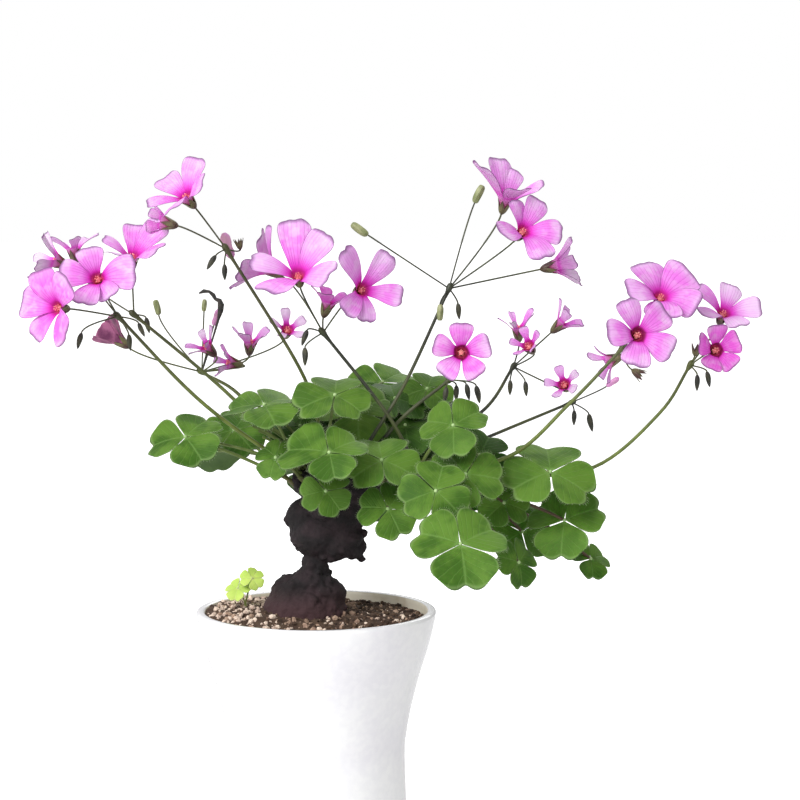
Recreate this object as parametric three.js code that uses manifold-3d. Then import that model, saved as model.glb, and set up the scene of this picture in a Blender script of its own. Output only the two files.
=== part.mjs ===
// Potted pink sorrel with a bare woody tuber, in millimetres, +Z up, base centre at the origin.
import * as THREE from "three";
import Module from "manifold-3d";

const wasm = await Module();
wasm.setup();

// Pot: outline radii and heights
const potHeight = 101;
const potFootRadius = 32;
const potFootBevel = 1.5;
const potWaistRadius = 29.6;
const potWaistHeight = 51;
const potFlareStartRadius = 31.9;
const potFlareStartHeight = 69;
const potFlareRadius = 34.6;
const potFlareHeight = 79.5;
const potLipStartRadius = 37.3;
const potLipStartHeight = 88;
const potRimRadius = 40;
const potRimRound = 0.9;
const potWall = 3;
const potFloor = 6;
const potSides = 24;

// Soil: fills the pot to a little under the rim, heaped on one side
const fitGap = 0.35;
const soilGap = 0.6;
const soilLevel = 97.6;
const soilHeap = 2.6;
const soilHeapStart = 4;
const soilHeapEnd = 30;
const soilMound = 3.6;
const soilMoundReach = 19;
const soilCrumb = 0.45;
const soilCrumbWaves = [
  [0.9, 0.4],
  [-0.5, 1.1],
];
const soilRings = [12, 17.5, 22.5, 28, 33.5];
const soilEdgeDrop = 1.2;
const soilSides = 18;

// Tuber: knobs of x, y, z, half sizes in x, y, z and a turn about y in degrees
const tuberFacets = 12;
const tuberMerge = 1.15;
const tuberSmallKnob = 8.5;
const tuberSmallFacets = 8;
const tuberRootRadius = 14.2;
const tuberRootBottom = 84;
const tuberRootTaper = 0.7;
const tuberKnobs = [
  [-4, 0, 100.5, 14, 13, 9, 0],
  [-8.5, 1, 105, 7, 7.5, 7.5, -18],
  [3.5, -1, 105, 6.3, 7, 7, 20],
  [-1.5, 0, 110, 7.2, 7, 5.5, 0],
  [-0.5, 0, 115, 4.4, 4.6, 6, 0],
  [1, 0, 126, 10, 8.5, 7.5, 8],
  [8, -1, 124, 8, 7, 6, -22],
  [12.5, -2, 121.5, 3, 3, 3.6, 30],
  [-4.5, 1, 131, 5.5, 6, 7, -10],
  [8, 0, 133, 8.5, 8, 9, 12],
  [3, -5, 138, 6, 5, 7, 0],
  [-4, -1, 143, 4, 4.5, 5, -20],
  [6, 0, 142, 12, 10, 9, 0],
  [17, -1, 143, 9, 7, 6.5, -8],
  [27, 0, 145, 9.5, 8.5, 7, 0],
];

// Stalks: radii from foot to tip, sides and steps along the length
const stalkSides = 5;
const stalkSteps = 6;
const stalkFootRadius = 1;
const stalkTipRadius = 0.75;
const petioleSides = 3;
const petioleSteps = 3;
const petioleStub = 5.5;
const petioleStubRise = 0.9;
const petioleFork = 0.85;
const petioleFootRadius = 0.85;
const petioleTipRadius = 0.55;
const pedicelSteps = 2;
const pedicelRadius = 0.42;
const pedicelBend = 0.28;
const hubLength = 2.4;
const hubRadius = 1.25;
const hubCrown = 0.8;
const socketGap = 0.95;
const socketReach = 7;
const socketSides = 4;

// Calyx: a cup of five sepals round the foot of each bloom
const calyxFloor = 0.9;
const calyxFootRadius = 0.8;
const calyxNotchHeight = 1.9;
const calyxNotchInner = 1.15;
const calyxNotchOuter = 1.85;
const calyxTipHeight = 4.4;
const calyxTipInner = 3.05;
const calyxTipOuter = 3.5;

// Bloom: five petals opening from a narrow throat
const petalCount = 5;
const bloomFootHeight = 1.35;
const throatHeight = 4.7;
const throatRadius = 2;
const throatFloor = 2.4;
const throatWall = 0.5;
const petalThickness = 0.62;
const petalFlareStart = 30;
const petalBend = 0.4;
const petalRows = [0.45, 0.86];
const petalHalfWidths = [0.3, 0.41];
const petalTip = 0.15;
const petalShare = 0.93;
const smallReach = 7.1;
const petalCrown = 0.03;
const budLength = 5.4;
const budOutline = [
  [1.4, 1.2],
  [3.9, 1],
];
const budSides = 4;

// Leaf: three heart-shaped leaflets round a hub
const leafletCount = 3;
const leafHub = 0.8;
const bladeThickness = 0.62;
const bladeSlope = 1.06;
const leafletOutline = [
  [0.2, 0.31],
  [0.5, 0.66],
  [0.84, 0.64],
  [1, 0.28],
];
const leafletRib = [0.4, 0.82];
const leafletFold = 0.34;
const leafletDroop = 0.3;

// Flower stalks: points from the foot in the tuber to the hub, as x, y, z
const umbels = [
  [[-3, -3, 145.5], [-36, -8, 170], [-64, -9, 199]],
  [[-3, 3, 145.5], [-30, 6, 173], [-61, 8, 199]],
  [[3, -2, 148], [1, -3, 163], [-5, -7, 182], [-28, -16, 221]],
  [[34.5, -5, 146], [24, -13, 167], [3, -14, 194]],
  [[11, -5, 147], [19, -10.5, 160], [30, -9, 178], [44, -4, 208]],
  [[14, 0, 146.5], [28, -7, 165], [44, -6, 178]],
  [[27, 4, 149], [56, 33, 164], [68, 48, 179]],
  [[31, 5, 147], [59, 30, 156], [89, 52, 166]],
  [[33, -2, 147.5], [63, -10, 153], [83, -14, 171], [100, -14, 189]],
  [[35, 3, 146.5], [64, 5, 145], [93, 6, 148], [115, 8, 166], [125, 8, 182]],
  [[-5, 4, 143.5], [-26, 28, 169], [-41, 35, 178]],
];

// Blooms: umbel, eye as x, y, z, facing as x, y, z, spin about it, reach of the petals and opening,
// with the spin and the opening in degrees. Uneven blooms add the width of the petals against
// the usual one, the turn of each petal from its even place in degrees, and its length
const blooms = [
  {
    umbel: 0, eye: [-80.5, -29, 202.5], facing: [-0.64, -0.77, 0.08], spin: 32, reach: 13, open: 65,
    turns: [10, 5, -5, -10, 0], lengths: [1, 1, 1, 0.9, 1.1],
  },
  {
    umbel: 0, eye: [-69, -20, 211.5], facing: [-0.06, -0.89, 0.45],
    spin: 28, reach: 11.5, open: 72, width: 1.15,
    turns: [-20, 10, 5, 10, -10], lengths: [1.2, 0.9, 1.1, 1, 0.8],
  },
  {
    umbel: 0, eye: [-84.8, -4, 217], facing: [-0.85, -0.2, 0.35],
    spin: 43, reach: 9, open: 44, width: 0.7,
  },
  {
    umbel: 1, eye: [-60.2, -2, 218.3], facing: [0.06, -0.5, 0.86],
    spin: 24, reach: 11.8, open: 52, width: 0.85,
    turns: [15, -15, -10, 0, 5], lengths: [1.1, 0.9, 0.8, 1, 1.1],
  },
  { umbel: 1, eye: [-82, 16, 220.5], facing: [-0.1, 0, 1], spin: 13, reach: 9, open: 58, width: 0.75 },
  { umbel: 10, eye: [-69, 26, 190], facing: [-0.75, 0, 0.6], spin: 70, reach: 5, open: 24 },
  {
    umbel: 2, eye: [-40, -24, 237.5], facing: [-0.53, -0.52, 0.67],
    spin: 12, reach: 11.7, open: 60, width: 0.85,
  },
  { umbel: 2, eye: [-49, -8, 229.5], facing: [-0.9, 0.25, 0.2], spin: 41, reach: 4.5, open: 30 },
  {
    umbel: 3, eye: [-4.3, -30, 212.6], facing: [-0.1, -0.72, 0.69],
    spin: 36, reach: 15.8, open: 58, width: 0.75,
    turns: [15, -10, -5, -5, 5], lengths: [0.9, 1, 0.9, 1.1, 1],
  },
  {
    umbel: 3, eye: [-15, 0, 214.3], facing: [-0.86, 0.06, 0.51],
    spin: 46, reach: 12.9, open: 54, width: 0.75,
  },
  {
    umbel: 3, eye: [15.8, -27, 208.2], facing: [0.5, -0.83, 0.22],
    spin: 55, reach: 13.6, open: 64, width: 0.72,
    turns: [-5, 0, 20, -10, 0], lengths: [1, 1.1, 1, 0.8, 0.9],
  },
  { umbel: 3, eye: [4.5, -12, 203.5], facing: [0.3, -0.15, 0.94], spin: 54, reach: 7, open: 50 },
  {
    umbel: 4, eye: [62.2, -8, 236.9], facing: [0.25, -0.32, 0.91],
    spin: 9, reach: 11.7, open: 46, width: 0.8,
    turns: [0, -5, 20, -20, -5], lengths: [1, 0.9, 0.9, 1, 1.2],
  },
  {
    umbel: 4, eye: [67.3, -18, 226.7], facing: [0.4, -0.75, 0.52],
    spin: 48, reach: 11.6, open: 63, width: 0.85,
    turns: [5, -20, 5, 15, 10], lengths: [1, 0.8, 1.1, 1.2, 1.1],
  },
  {
    umbel: 4, eye: [79.1, 0, 215.2], facing: [0.98, -0.02, 0.2],
    spin: 31, reach: 8.8, open: 43, width: 0.65,
  },
  { umbel: 5, eye: [47.5, -22, 188], facing: [0, -0.99, 0.11], spin: 17, reach: 9.5, open: 70 },
  {
    umbel: 6, eye: [69.5, 47, 192.5], facing: [-0.1, -0.2, 0.96],
    spin: 53, reach: 7, open: 44, width: 0.6,
  },
  {
    umbel: 6, eye: [72.5, 37, 187], facing: [-0.45, -0.7, 0.55],
    spin: 38, reach: 6, open: 46, width: 0.8,
  },
  { umbel: 6, eye: [85.5, 56, 194], facing: [0.7, -0.1, 0.65], spin: 23, reach: 7, open: 42, width: 0.7 },
  {
    umbel: 6, eye: [85, 36, 173.5], facing: [-0.32, -0.83, 0.46],
    spin: 40, reach: 6.6, open: 57, width: 0.75,
  },
  {
    umbel: 8, eye: [103, -30, 194], facing: [0.29, -0.91, 0.29],
    spin: 36, reach: 11.8, open: 72, width: 0.95,
  },
  {
    umbel: 8, eye: [112, -16, 205.5], facing: [0.17, -0.7, 0.69],
    spin: 37, reach: 12.8, open: 70, width: 1.1,
  },
  { umbel: 8, eye: [97, -2, 184], facing: [-0.75, 0.3, -0.35], spin: 36, reach: 7, open: 50, width: 0.7 },
  {
    umbel: 9, eye: [135, 2, 199.5], facing: [0.2, -0.63, 0.75],
    spin: 59, reach: 11.8, open: 65, width: 0.8,
  },
  {
    umbel: 9, eye: [130.7, -11, 188.1], facing: [0.3, -0.93, 0.21],
    spin: 20, reach: 7.9, open: 63, width: 1.15,
  },
  {
    umbel: 10, eye: [-38.5, 26, 187.2], facing: [-0.6, -0.4, 0.65],
    spin: 64, reach: 6.5, open: 46, width: 0.75,
  },
  {
    umbel: 10, eye: [-24.5, 40, 188], facing: [0.1, -0.3, 0.95],
    spin: 50, reach: 7, open: 44, width: 0.8,
  },
  {
    umbel: 10, eye: [-31, 30, 181.5], facing: [-0.9, -0.3, 0.2],
    spin: 35, reach: 6, open: 42, width: 0.7,
  },
  { umbel: 10, eye: [-12, 50, 192], facing: [0.2, -0.7, 0.6], spin: 20, reach: 7, open: 56, width: 0.7 },
];

// Buds: umbel, foot as x, y, z, way it points as x, y, z and size against a full bud
const buds = [
  { umbel: 0, foot: [-57, -12, 197], points: [0.4, -0.1, -0.9], size: 0.9 },
  { umbel: 0, foot: [-61, -6, 193], points: [0.1, 0, -1], size: 1 },
  { umbel: 0, foot: [-75, -16, 194], points: [-0.2, -0.2, -0.9], size: 1 },
  { umbel: 1, foot: [-57, 8, 198], points: [0.2, 0.1, -1], size: 1 },
  { umbel: 2, foot: [-31, -21, 219], points: [-0.5, -0.2, -0.8], size: 1 },
  { umbel: 2, foot: [-29, -12, 216], points: [0, 0.3, -0.9], size: 1 },
  { umbel: 2, foot: [-26.6, -12, 218], points: [-0.3, 0, 0.95], size: 1.6 },
  { umbel: 3, foot: [-2, -18, 195], points: [-0.3, -0.2, -0.9], size: 1 },
  { umbel: 3, foot: [-3, -12, 189], points: [0, 0, -1], size: 1.1 },
  { umbel: 4, foot: [17.5, -10, 225.5], points: [-0.83, 0, 0.55], size: 1.2 },
  { umbel: 4, foot: [52.5, 2, 236], points: [0.4, 0.1, 0.9], size: 1.2 },
  { umbel: 4, foot: [41, -8, 203], points: [0, 0, -1], size: 1 },
  { umbel: 4, foot: [47, 0, 203], points: [0.1, 0.1, -1], size: 1 },
  { umbel: 5, foot: [43, -9, 176], points: [-0.1, -0.1, -1], size: 1 },
  { umbel: 5, foot: [46.5, -2, 176], points: [0, 0.1, -1], size: 1 },
  { umbel: 5, foot: [49.5, -10, 177], points: [0.2, 0, -1], size: 1 },
  { umbel: 5, foot: [53, -4, 176], points: [0.2, 0, -1], size: 1.1 },
  { umbel: 6, foot: [67, 50, 174], points: [0, 0.1, -1], size: 1 },
  { umbel: 6, foot: [72, 45, 174], points: [0.1, 0, -1], size: 1 },
  { umbel: 7, foot: [90, 53, 163], points: [0, 0, -1], size: 1 },
  { umbel: 7, foot: [95, 50, 162], points: [0.2, 0, -1], size: 1.2 },
  { umbel: 7, foot: [101, 48, 172], points: [0.7, 0, 0.5], size: 1 },
  { umbel: 9, foot: [127, 5, 179], points: [0, 0, -1], size: 1 },
  { umbel: 9, foot: [130.5, 7, 180], points: [0.2, 0, -1], size: 1 },
  { umbel: 10, foot: [-55, 28, 198], points: [-0.2, 0, 1], size: 1 },
  { umbel: 10, foot: [-37, 38, 194], points: [0.3, 0, 0.95], size: 1.1 },
];

// Leaves, mostly in pairs from one foot: centre, lean and turn of the normal, heading, length
// and rise of the petiole over a straight line. An uneven leaf adds the sizes of its leaflets
const leafPairs = [
  {
    foot: [-5.5, -2.5, 141.5],
    leaves: [
      { centre: [-42, -13, 160], lean: 37, yaw: -12, heading: 190, length: 12.5, rise: 1 },
      { centre: [-28, 11, 160], lean: 36, yaw: -12, heading: 195, length: 12, rise: 1 },
    ],
  },
  {
    foot: [-2.5, -6.5, 143.5],
    leaves: [
      { centre: [-16.2, -14, 170.6], lean: 20, yaw: -10, heading: 177, length: 13.4, rise: 3 },
      { centre: [-12.5, -15, 153.5], lean: 55, yaw: -15, heading: 263, length: 7.4, rise: 1 },
    ],
  },
  {
    foot: [2, -8, 143.5],
    leaves: [
      {
        centre: [6.8, -16.8, 174], lean: 34, yaw: 4, heading: 82, length: 12.4, rise: 2,
        sizes: [0.9, 1.03, 0.9],
      },
      {
        centre: [5.5, -33, 157], lean: 38, yaw: -5, heading: 165, length: 14.5, rise: 5,
        sizes: [1.1, 0.76, 0.84],
      },
    ],
  },
  {
    foot: [8, -8.8, 142],
    leaves: [
      { centre: [4, -22, 143.4], lean: 62, yaw: -5, heading: 190, length: 8.8, rise: 1 },
      { centre: [22, -23, 153.5], lean: 36, yaw: 5, heading: 210, length: 13, rise: 3 },
    ],
  },
  {
    foot: [6, 3, 148.5],
    leaves: [
      { centre: [13.6, 0.5, 167.2], lean: 45, yaw: 0, heading: 154, length: 13.5, rise: 2 },
      { centre: [22, 27, 175], lean: 30, yaw: 5, heading: 50, length: 13, rise: 5 },
    ],
  },
  {
    foot: [31, -7, 145],
    leaves: [
      { centre: [45, -21, 164.5], lean: 51, yaw: -18, heading: 163, length: 11.2, rise: 2 },
      { centre: [49, -24, 149], lean: 52, yaw: 8, heading: 357, length: 12.5, rise: 2 },
    ],
  },
  {
    foot: [22, -6.5, 144.5],
    leaves: [
      { centre: [39.2, -35, 145], lean: 56, yaw: 3, heading: 198, length: 11.5, rise: -2.5 },
      { centre: [24, -25, 138], lean: 58, yaw: -3, heading: 175, length: 10, rise: 1 },
    ],
  },
  {
    foot: [27, -7.5, 143],
    leaves: [
      { centre: [46.6, -50.5, 130.4], lean: 45, yaw: 5, heading: 152, length: 15, rise: -4 },
    ],
  },
  {
    foot: [36, -2.5, 143],
    climb: 0.4,
    leaves: [
      { centre: [77, -12.2, 148.5], lean: 38, yaw: 8, heading: 205, length: 15.3, rise: 1 },
      { centre: [62, -10, 138], lean: 55, yaw: 10, heading: 100, length: 9, rise: 2 },
    ],
  },
  {
    foot: [37, -0.5, 140.5],
    climb: 0.1,
    leaves: [
      { centre: [82, -8, 132], lean: 55, yaw: -20, heading: 30, length: 13, rise: 3 },
      { centre: [67, -8, 118], lean: 70, yaw: 40, heading: 275, length: 8.5, rise: 3 },
    ],
  },
  {
    foot: [32.6, 4.6, 142],
    climb: 0.3,
    leaves: [
      { centre: [92, 6, 117], lean: 45, yaw: 30, heading: 15, length: 7.5, rise: 5 },
      { centre: [69, 7, 126], lean: 50, yaw: 15, heading: 90, length: 11, rise: 5 },
    ],
  },
  {
    foot: [-1.5, 7, 143],
    leaves: [
      { centre: [-35, 30, 151], lean: 30, yaw: 200, heading: 20, length: 12, rise: 2 },
      { centre: [-14, 38, 162], lean: 35, yaw: 190, heading: 70, length: 12, rise: 6 },
    ],
  },
  {
    foot: [4, 8, 144],
    leaves: [
      { centre: [-3, 38, 144], lean: 45, yaw: 190, heading: 30, length: 12, rise: 6 },
      { centre: [4, 28, 165], lean: 30, yaw: 180, heading: 90, length: 10.5, rise: 4 },
    ],
  },
  {
    foot: [12, 7, 144],
    leaves: [
      { centre: [22, 42, 155], lean: 35, yaw: 170, heading: 60, length: 13, rise: 7 },
      { centre: [19, 26, 136], lean: 55, yaw: 175, heading: 40, length: 10, rise: 4 },
    ],
  },
  {
    foot: [22, 7, 144.5],
    leaves: [
      { centre: [44, 35, 143], lean: 40, yaw: 160, heading: 20, length: 12, rise: 6 },
      { centre: [37, 10, 174], lean: 40, yaw: 0, heading: 75, length: 9, rise: 1 },
    ],
  },
  {
    foot: [28, 7.5, 142.5],
    climb: 0.4,
    leaves: [
      { centre: [66, 20, 134], lean: 35, yaw: 140, heading: 10, length: 11, rise: 6 },
    ],
  },
];

// Seedling: foot in the soil and two small leaves
const seedlingRadius = 0.5;
const seedling = {
  foot: [-24, 6, 97.5],
  climb: 3,
  leaves: [
    { centre: [-26.5, 3, 107.5], lean: 45, yaw: -20, heading: 150, length: 4.6, rise: 0.5 },
    { centre: [-21.5, 2, 111], lean: 55, yaw: 10, heading: 60, length: 4.2, rise: 0.5 },
  ],
};

// Colours
const colours = {
  glaze: "#eeeeee",
  soil: "#4a3628",
  bark: "#2c2024",
  stalk: "#6f7a3a",
  petal: "#ee86ea",
  leaf: "#5f9440",
  sprout: "#c4d860",
};

const turn = Math.PI * 2;
const degree = Math.PI / 180;
const half = 0.5;
const mergeLength = 0.1;
const steepLimit = 0.9;
const up = new THREE.Vector3(0, 0, 1);

function vector([x, y, z]) {
  return new THREE.Vector3(x, y, z);
}

function solid(points, faces) {
  const mesh = new wasm.Mesh({
    numProp: 3,
    vertProperties: new Float32Array(points.flatMap((point) => point.toArray())),
    triVerts: new Uint32Array(faces.flat()),
  });
  return new wasm.Manifold(mesh);
}

// A basis whose third axis is the way given, turned about it by a spin
function basis(facing, spin) {
  const third = facing.clone().normalize();
  const guide = Math.abs(third.z) < steepLimit ? up : new THREE.Vector3(1, 0, 0);
  const first = new THREE.Vector3().crossVectors(guide, third).normalize();
  first.applyAxisAngle(third, spin);
  const second = new THREE.Vector3().crossVectors(third, first);
  return new THREE.Matrix4().makeBasis(first, second, third);
}

// A curve from start to end that passes the middle point halfway
function arc(start, middle, end) {
  const control = middle.clone().multiplyScalar(2);
  control.addScaledVector(start, -half).addScaledVector(end, -half);
  return new THREE.QuadraticBezierCurve3(start, control, end);
}

// Rings of points round a row of stations, turned as little as can be from one to the next
function sweep(stations, sides, guide) {
  let first = guide.clone();
  return stations.map(({ centre, way, radius }) => {
    first = first.addScaledVector(way, -first.dot(way)).normalize().clone();
    const second = new THREE.Vector3().crossVectors(way, first);
    return Array.from({ length: sides }, (_, side) => {
      const angle = (turn * side) / sides;
      const point = centre.clone().addScaledVector(first, radius * Math.cos(angle));
      return point.addScaledVector(second, radius * Math.sin(angle));
    });
  });
}

// Stations along a curve with a radius that runs evenly from one end to the other
function stationsOn(curve, startRadius, endRadius, steps) {
  return Array.from({ length: steps + 1 }, (_, step) => {
    const along = step / steps;
    const radius = startRadius + (endRadius - startRadius) * along;
    return { centre: curve.getPointAt(along), way: curve.getTangentAt(along), radius };
  });
}

// A guide for the first ring that is never along the way given
function guideFor(way) {
  return Math.abs(way.z) < steepLimit ? up.clone() : new THREE.Vector3(1, 0, 0);
}

// A skin over rings from bottom to top; one point closes an end, a ring may double the one before
function loft(rings) {
  const faces = [];
  let low = 0;
  for (let place = 0; place < rings.length - 1; place += 1) {
    const below = rings[place].length;
    const above = rings[place + 1].length;
    const high = low + below;
    const count = Math.max(below, above);
    for (let side = 0; side < count; side += 1) {
      const next = (side + 1) % count;
      if (below === 1) {
        faces.push([low, high + next, high + side]);
      } else if (above === 1) {
        faces.push([low + side, low + next, high]);
      } else if (above === below) {
        faces.push([low + side, low + next, high + next]);
        faces.push([low + side, high + next, high + side]);
      } else {
        const under = low + (Math.ceil(side * half) % below);
        faces.push([under, high + next, high + side]);
        if (side % 2 === 1) {
          faces.push([low + Math.floor(side * half), under, high + side]);
        }
      }
    }
    low = high;
  }
  return solid(rings.flat(), faces);
}

// A closed round bar along a curve
function bar(curve, startRadius, endRadius, sides, steps) {
  const stations = stationsOn(curve, startRadius, endRadius, steps);
  const rings = sweep(stations, sides, guideFor(stations[0].way));
  return loft([[stations[0].centre], ...rings, [stations[steps].centre]]);
}

// The loop of edges that belong to one face only
function rimOf(faces) {
  const follows = new Map();
  const edges = new Set();
  for (const face of faces) {
    face.forEach((start, place) => edges.add(`${start},${face[(place + 1) % face.length]}`));
  }
  for (const edge of edges) {
    const [start, end] = edge.split(",").map(Number);
    if (!edges.has(`${end},${start}`)) {
      follows.set(start, end);
    }
  }
  return [...follows.entries()];
}

// A closed blade from its upper points, their matching lower points and one set of triangles
function blade(upper, lower, faces) {
  const count = upper.length;
  const all = faces.map((face) => [...face]);
  for (const [first, second, third] of faces) {
    all.push([first + count, third + count, second + count]);
  }
  for (const [start, end] of rimOf(faces)) {
    all.push([start, start + count, end + count]);
    all.push([start, end + count, end]);
  }
  return solid([...upper, ...lower], all);
}

function circle(radius, height, sides, shift = 0) {
  const ring = [];
  for (let side = 0; side < sides; side += 1) {
    const angle = (turn * (side + shift)) / sides;
    ring.push(new THREE.Vector3(radius * Math.cos(angle), radius * Math.sin(angle), height));
  }
  return ring;
}

function makePot() {
  const innerRim = potRimRadius - potWall;
  const outline = [
    [potFootRadius - potFootBevel, 0],
    [potFootRadius, potFootBevel],
    [potWaistRadius, potWaistHeight],
    [potFlareStartRadius, potFlareStartHeight],
    [potFlareRadius, potFlareHeight],
    [potLipStartRadius, potLipStartHeight],
    [potRimRadius, potHeight - potRimRound],
    [potRimRadius - potRimRound, potHeight],
    [innerRim + potRimRound, potHeight],
    [innerRim, potHeight - potRimRound],
    [potLipStartRadius - potWall, potLipStartHeight],
    [potFlareStartRadius - potWall, potFlareStartHeight],
    [potWaistRadius - potWall, potWaistHeight],
    [potFootRadius - potWall, potFloor],
  ];
  const rings = outline.map(([radius, height]) => circle(radius, height, potSides));
  const bottom = new THREE.Vector3(0, 0, 0);
  const floor = new THREE.Vector3(0, 0, potFloor);
  return loft([[bottom], ...rings, [floor]]);
}

// Height of the soil: heaped to the left, mounded round the tuber, crumbly all over
function soilHeight(x, y) {
  const [[tuberX, tuberY]] = tuberKnobs;
  const fromTuber = Math.hypot(x - tuberX, y - tuberY);
  const heap = soilHeap * THREE.MathUtils.smoothstep(-x, soilHeapStart, soilHeapEnd);
  const mound = soilMound * Math.exp(-((fromTuber / soilMoundReach) ** 2));
  const crumbs = soilCrumbWaves.map(([alongX, alongY]) => Math.sin(x * alongX + y * alongY));
  return soilLevel + heap + mound + soilCrumb * (crumbs[0] + crumbs[1]);
}

function makeSoil() {
  const gap = potWall + soilGap;
  const rings = [
    circle(potFootRadius - gap, potFloor + fitGap, soilSides),
    circle(potWaistRadius - gap, potWaistHeight, soilSides),
    circle(potFlareStartRadius - gap, potFlareStartHeight, soilSides),
    circle(potLipStartRadius - gap, potLipStartHeight, soilSides),
    circle(potRimRadius - gap - soilEdgeDrop, soilLevel - soilEdgeDrop, soilSides),
  ];
  for (const radius of [...soilRings].reverse()) {
    const ring = circle(radius, 0, soilSides, half * (radius % 2));
    ring.forEach((point) => point.setZ(soilHeight(point.x, point.y)));
    rings.push(ring);
  }
  const bottom = new THREE.Vector3(0, 0, potFloor + fitGap);
  return loft([[bottom], ...rings, [new THREE.Vector3(0, 0, soilHeight(0, 0))]]);
}

function makeTuber() {
  const [[x, y, top]] = tuberKnobs;
  const rootHeight = top - tuberRootBottom;
  const tipRadius = tuberRootRadius * tuberRootTaper;
  const root = wasm.Manifold.cylinder(rootHeight, tipRadius, tuberRootRadius, tuberFacets);
  const pieces = [root.translate([x, y, tuberRootBottom])];
  for (const [knobX, knobY, knobZ, wide, deep, tall, tilt] of tuberKnobs) {
    const facets = tall < tuberSmallKnob ? tuberSmallFacets : tuberFacets;
    const ball = wasm.Manifold.sphere(1, facets).scale([wide, deep, tall]);
    pieces.push(ball.rotate([0, tilt, 0]).translate([knobX, knobY, knobZ]));
  }
  return wasm.Manifold.union(pieces).simplify(tuberMerge);
}

// The plain hole in the soil that the tuber stands in
function tuberHole() {
  const [[x, y]] = tuberKnobs;
  const radius = tuberRootRadius + fitGap;
  const height = potHeight - tuberRootBottom + potWall;
  const hole = wasm.Manifold.cylinder(height, radius, radius, tuberFacets * 2);
  return hole.translate([x, y, tuberRootBottom - fitGap]);
}

// The plain hole that a stalk stands in, along the first stretch of the stalk
function socket(curve, radius) {
  const start = curve.getPointAt(0);
  const way = curve.getTangentAt(0);
  const low = start.clone().addScaledVector(way, -fitGap);
  const high = start.clone().addScaledVector(way, socketReach);
  return bar(new THREE.LineCurve3(low, high), radius + socketGap, radius + socketGap, socketSides, 1);
}

// Rings of a calyx from its foot up to the sepal tips and back down inside, with its floor
function calyxRings(place) {
  const ring = (shape) =>
    shape.map(([radius, height], side) => {
      const angle = (turn * side) / shape.length;
      const point = new THREE.Vector3(radius * Math.cos(angle), radius * Math.sin(angle), height);
      return point.applyMatrix4(place);
    });
  const sepals = Array.from({ length: petalCount });
  const foot = sepals.map(() => [calyxFootRadius, 0]);
  const outer = sepals.flatMap(() => [
    [calyxTipOuter, calyxTipHeight],
    [calyxNotchOuter, calyxNotchHeight],
  ]);
  const inner = sepals.flatMap(() => [
    [calyxTipInner, calyxTipHeight],
    [calyxNotchInner, calyxNotchHeight],
  ]);
  return [ring(foot), ring(outer), ring(inner), ring([[0, calyxFloor]])];
}

// Where the bloom's foot stands, with its axis along the way it faces
function bloomPlace(bloom) {
  const place = basis(vector(bloom.facing), bloom.spin * degree);
  const foot = vector(bloom.eye);
  foot.addScaledVector(vector(bloom.facing).normalize(), -throatHeight);
  return place.setPosition(foot);
}

// One petal's centre line as distance from the axis and height, with its slope
function petalLine(bloom, along, share) {
  const start = new THREE.Vector2(throatRadius, throatHeight);
  const length = (share * (bloom.reach - throatRadius)) / Math.sin(bloom.open * degree);
  const first = new THREE.Vector2(Math.sin(petalFlareStart * degree), Math.cos(petalFlareStart * degree));
  const last = new THREE.Vector2(Math.sin(bloom.open * degree), Math.cos(bloom.open * degree));
  const bend = start.clone().addScaledVector(first, length * petalBend);
  const end = start.clone().addScaledVector(last, length);
  const curve = new THREE.QuadraticBezierCurve(start, bend, end);
  return { point: curve.getPoint(along), slope: curve.getTangent(along), length };
}

// The half width that a petal has on one side, against its reach, before it meets its neighbour
function petalRoom(angles, petal, side) {
  const next = (petal + side + petalCount) % petalCount;
  const apart = (((angles[next] - angles[petal]) * side) % turn + turn) % turn;
  return Math.tan(apart * half) * petalShare;
}

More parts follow.
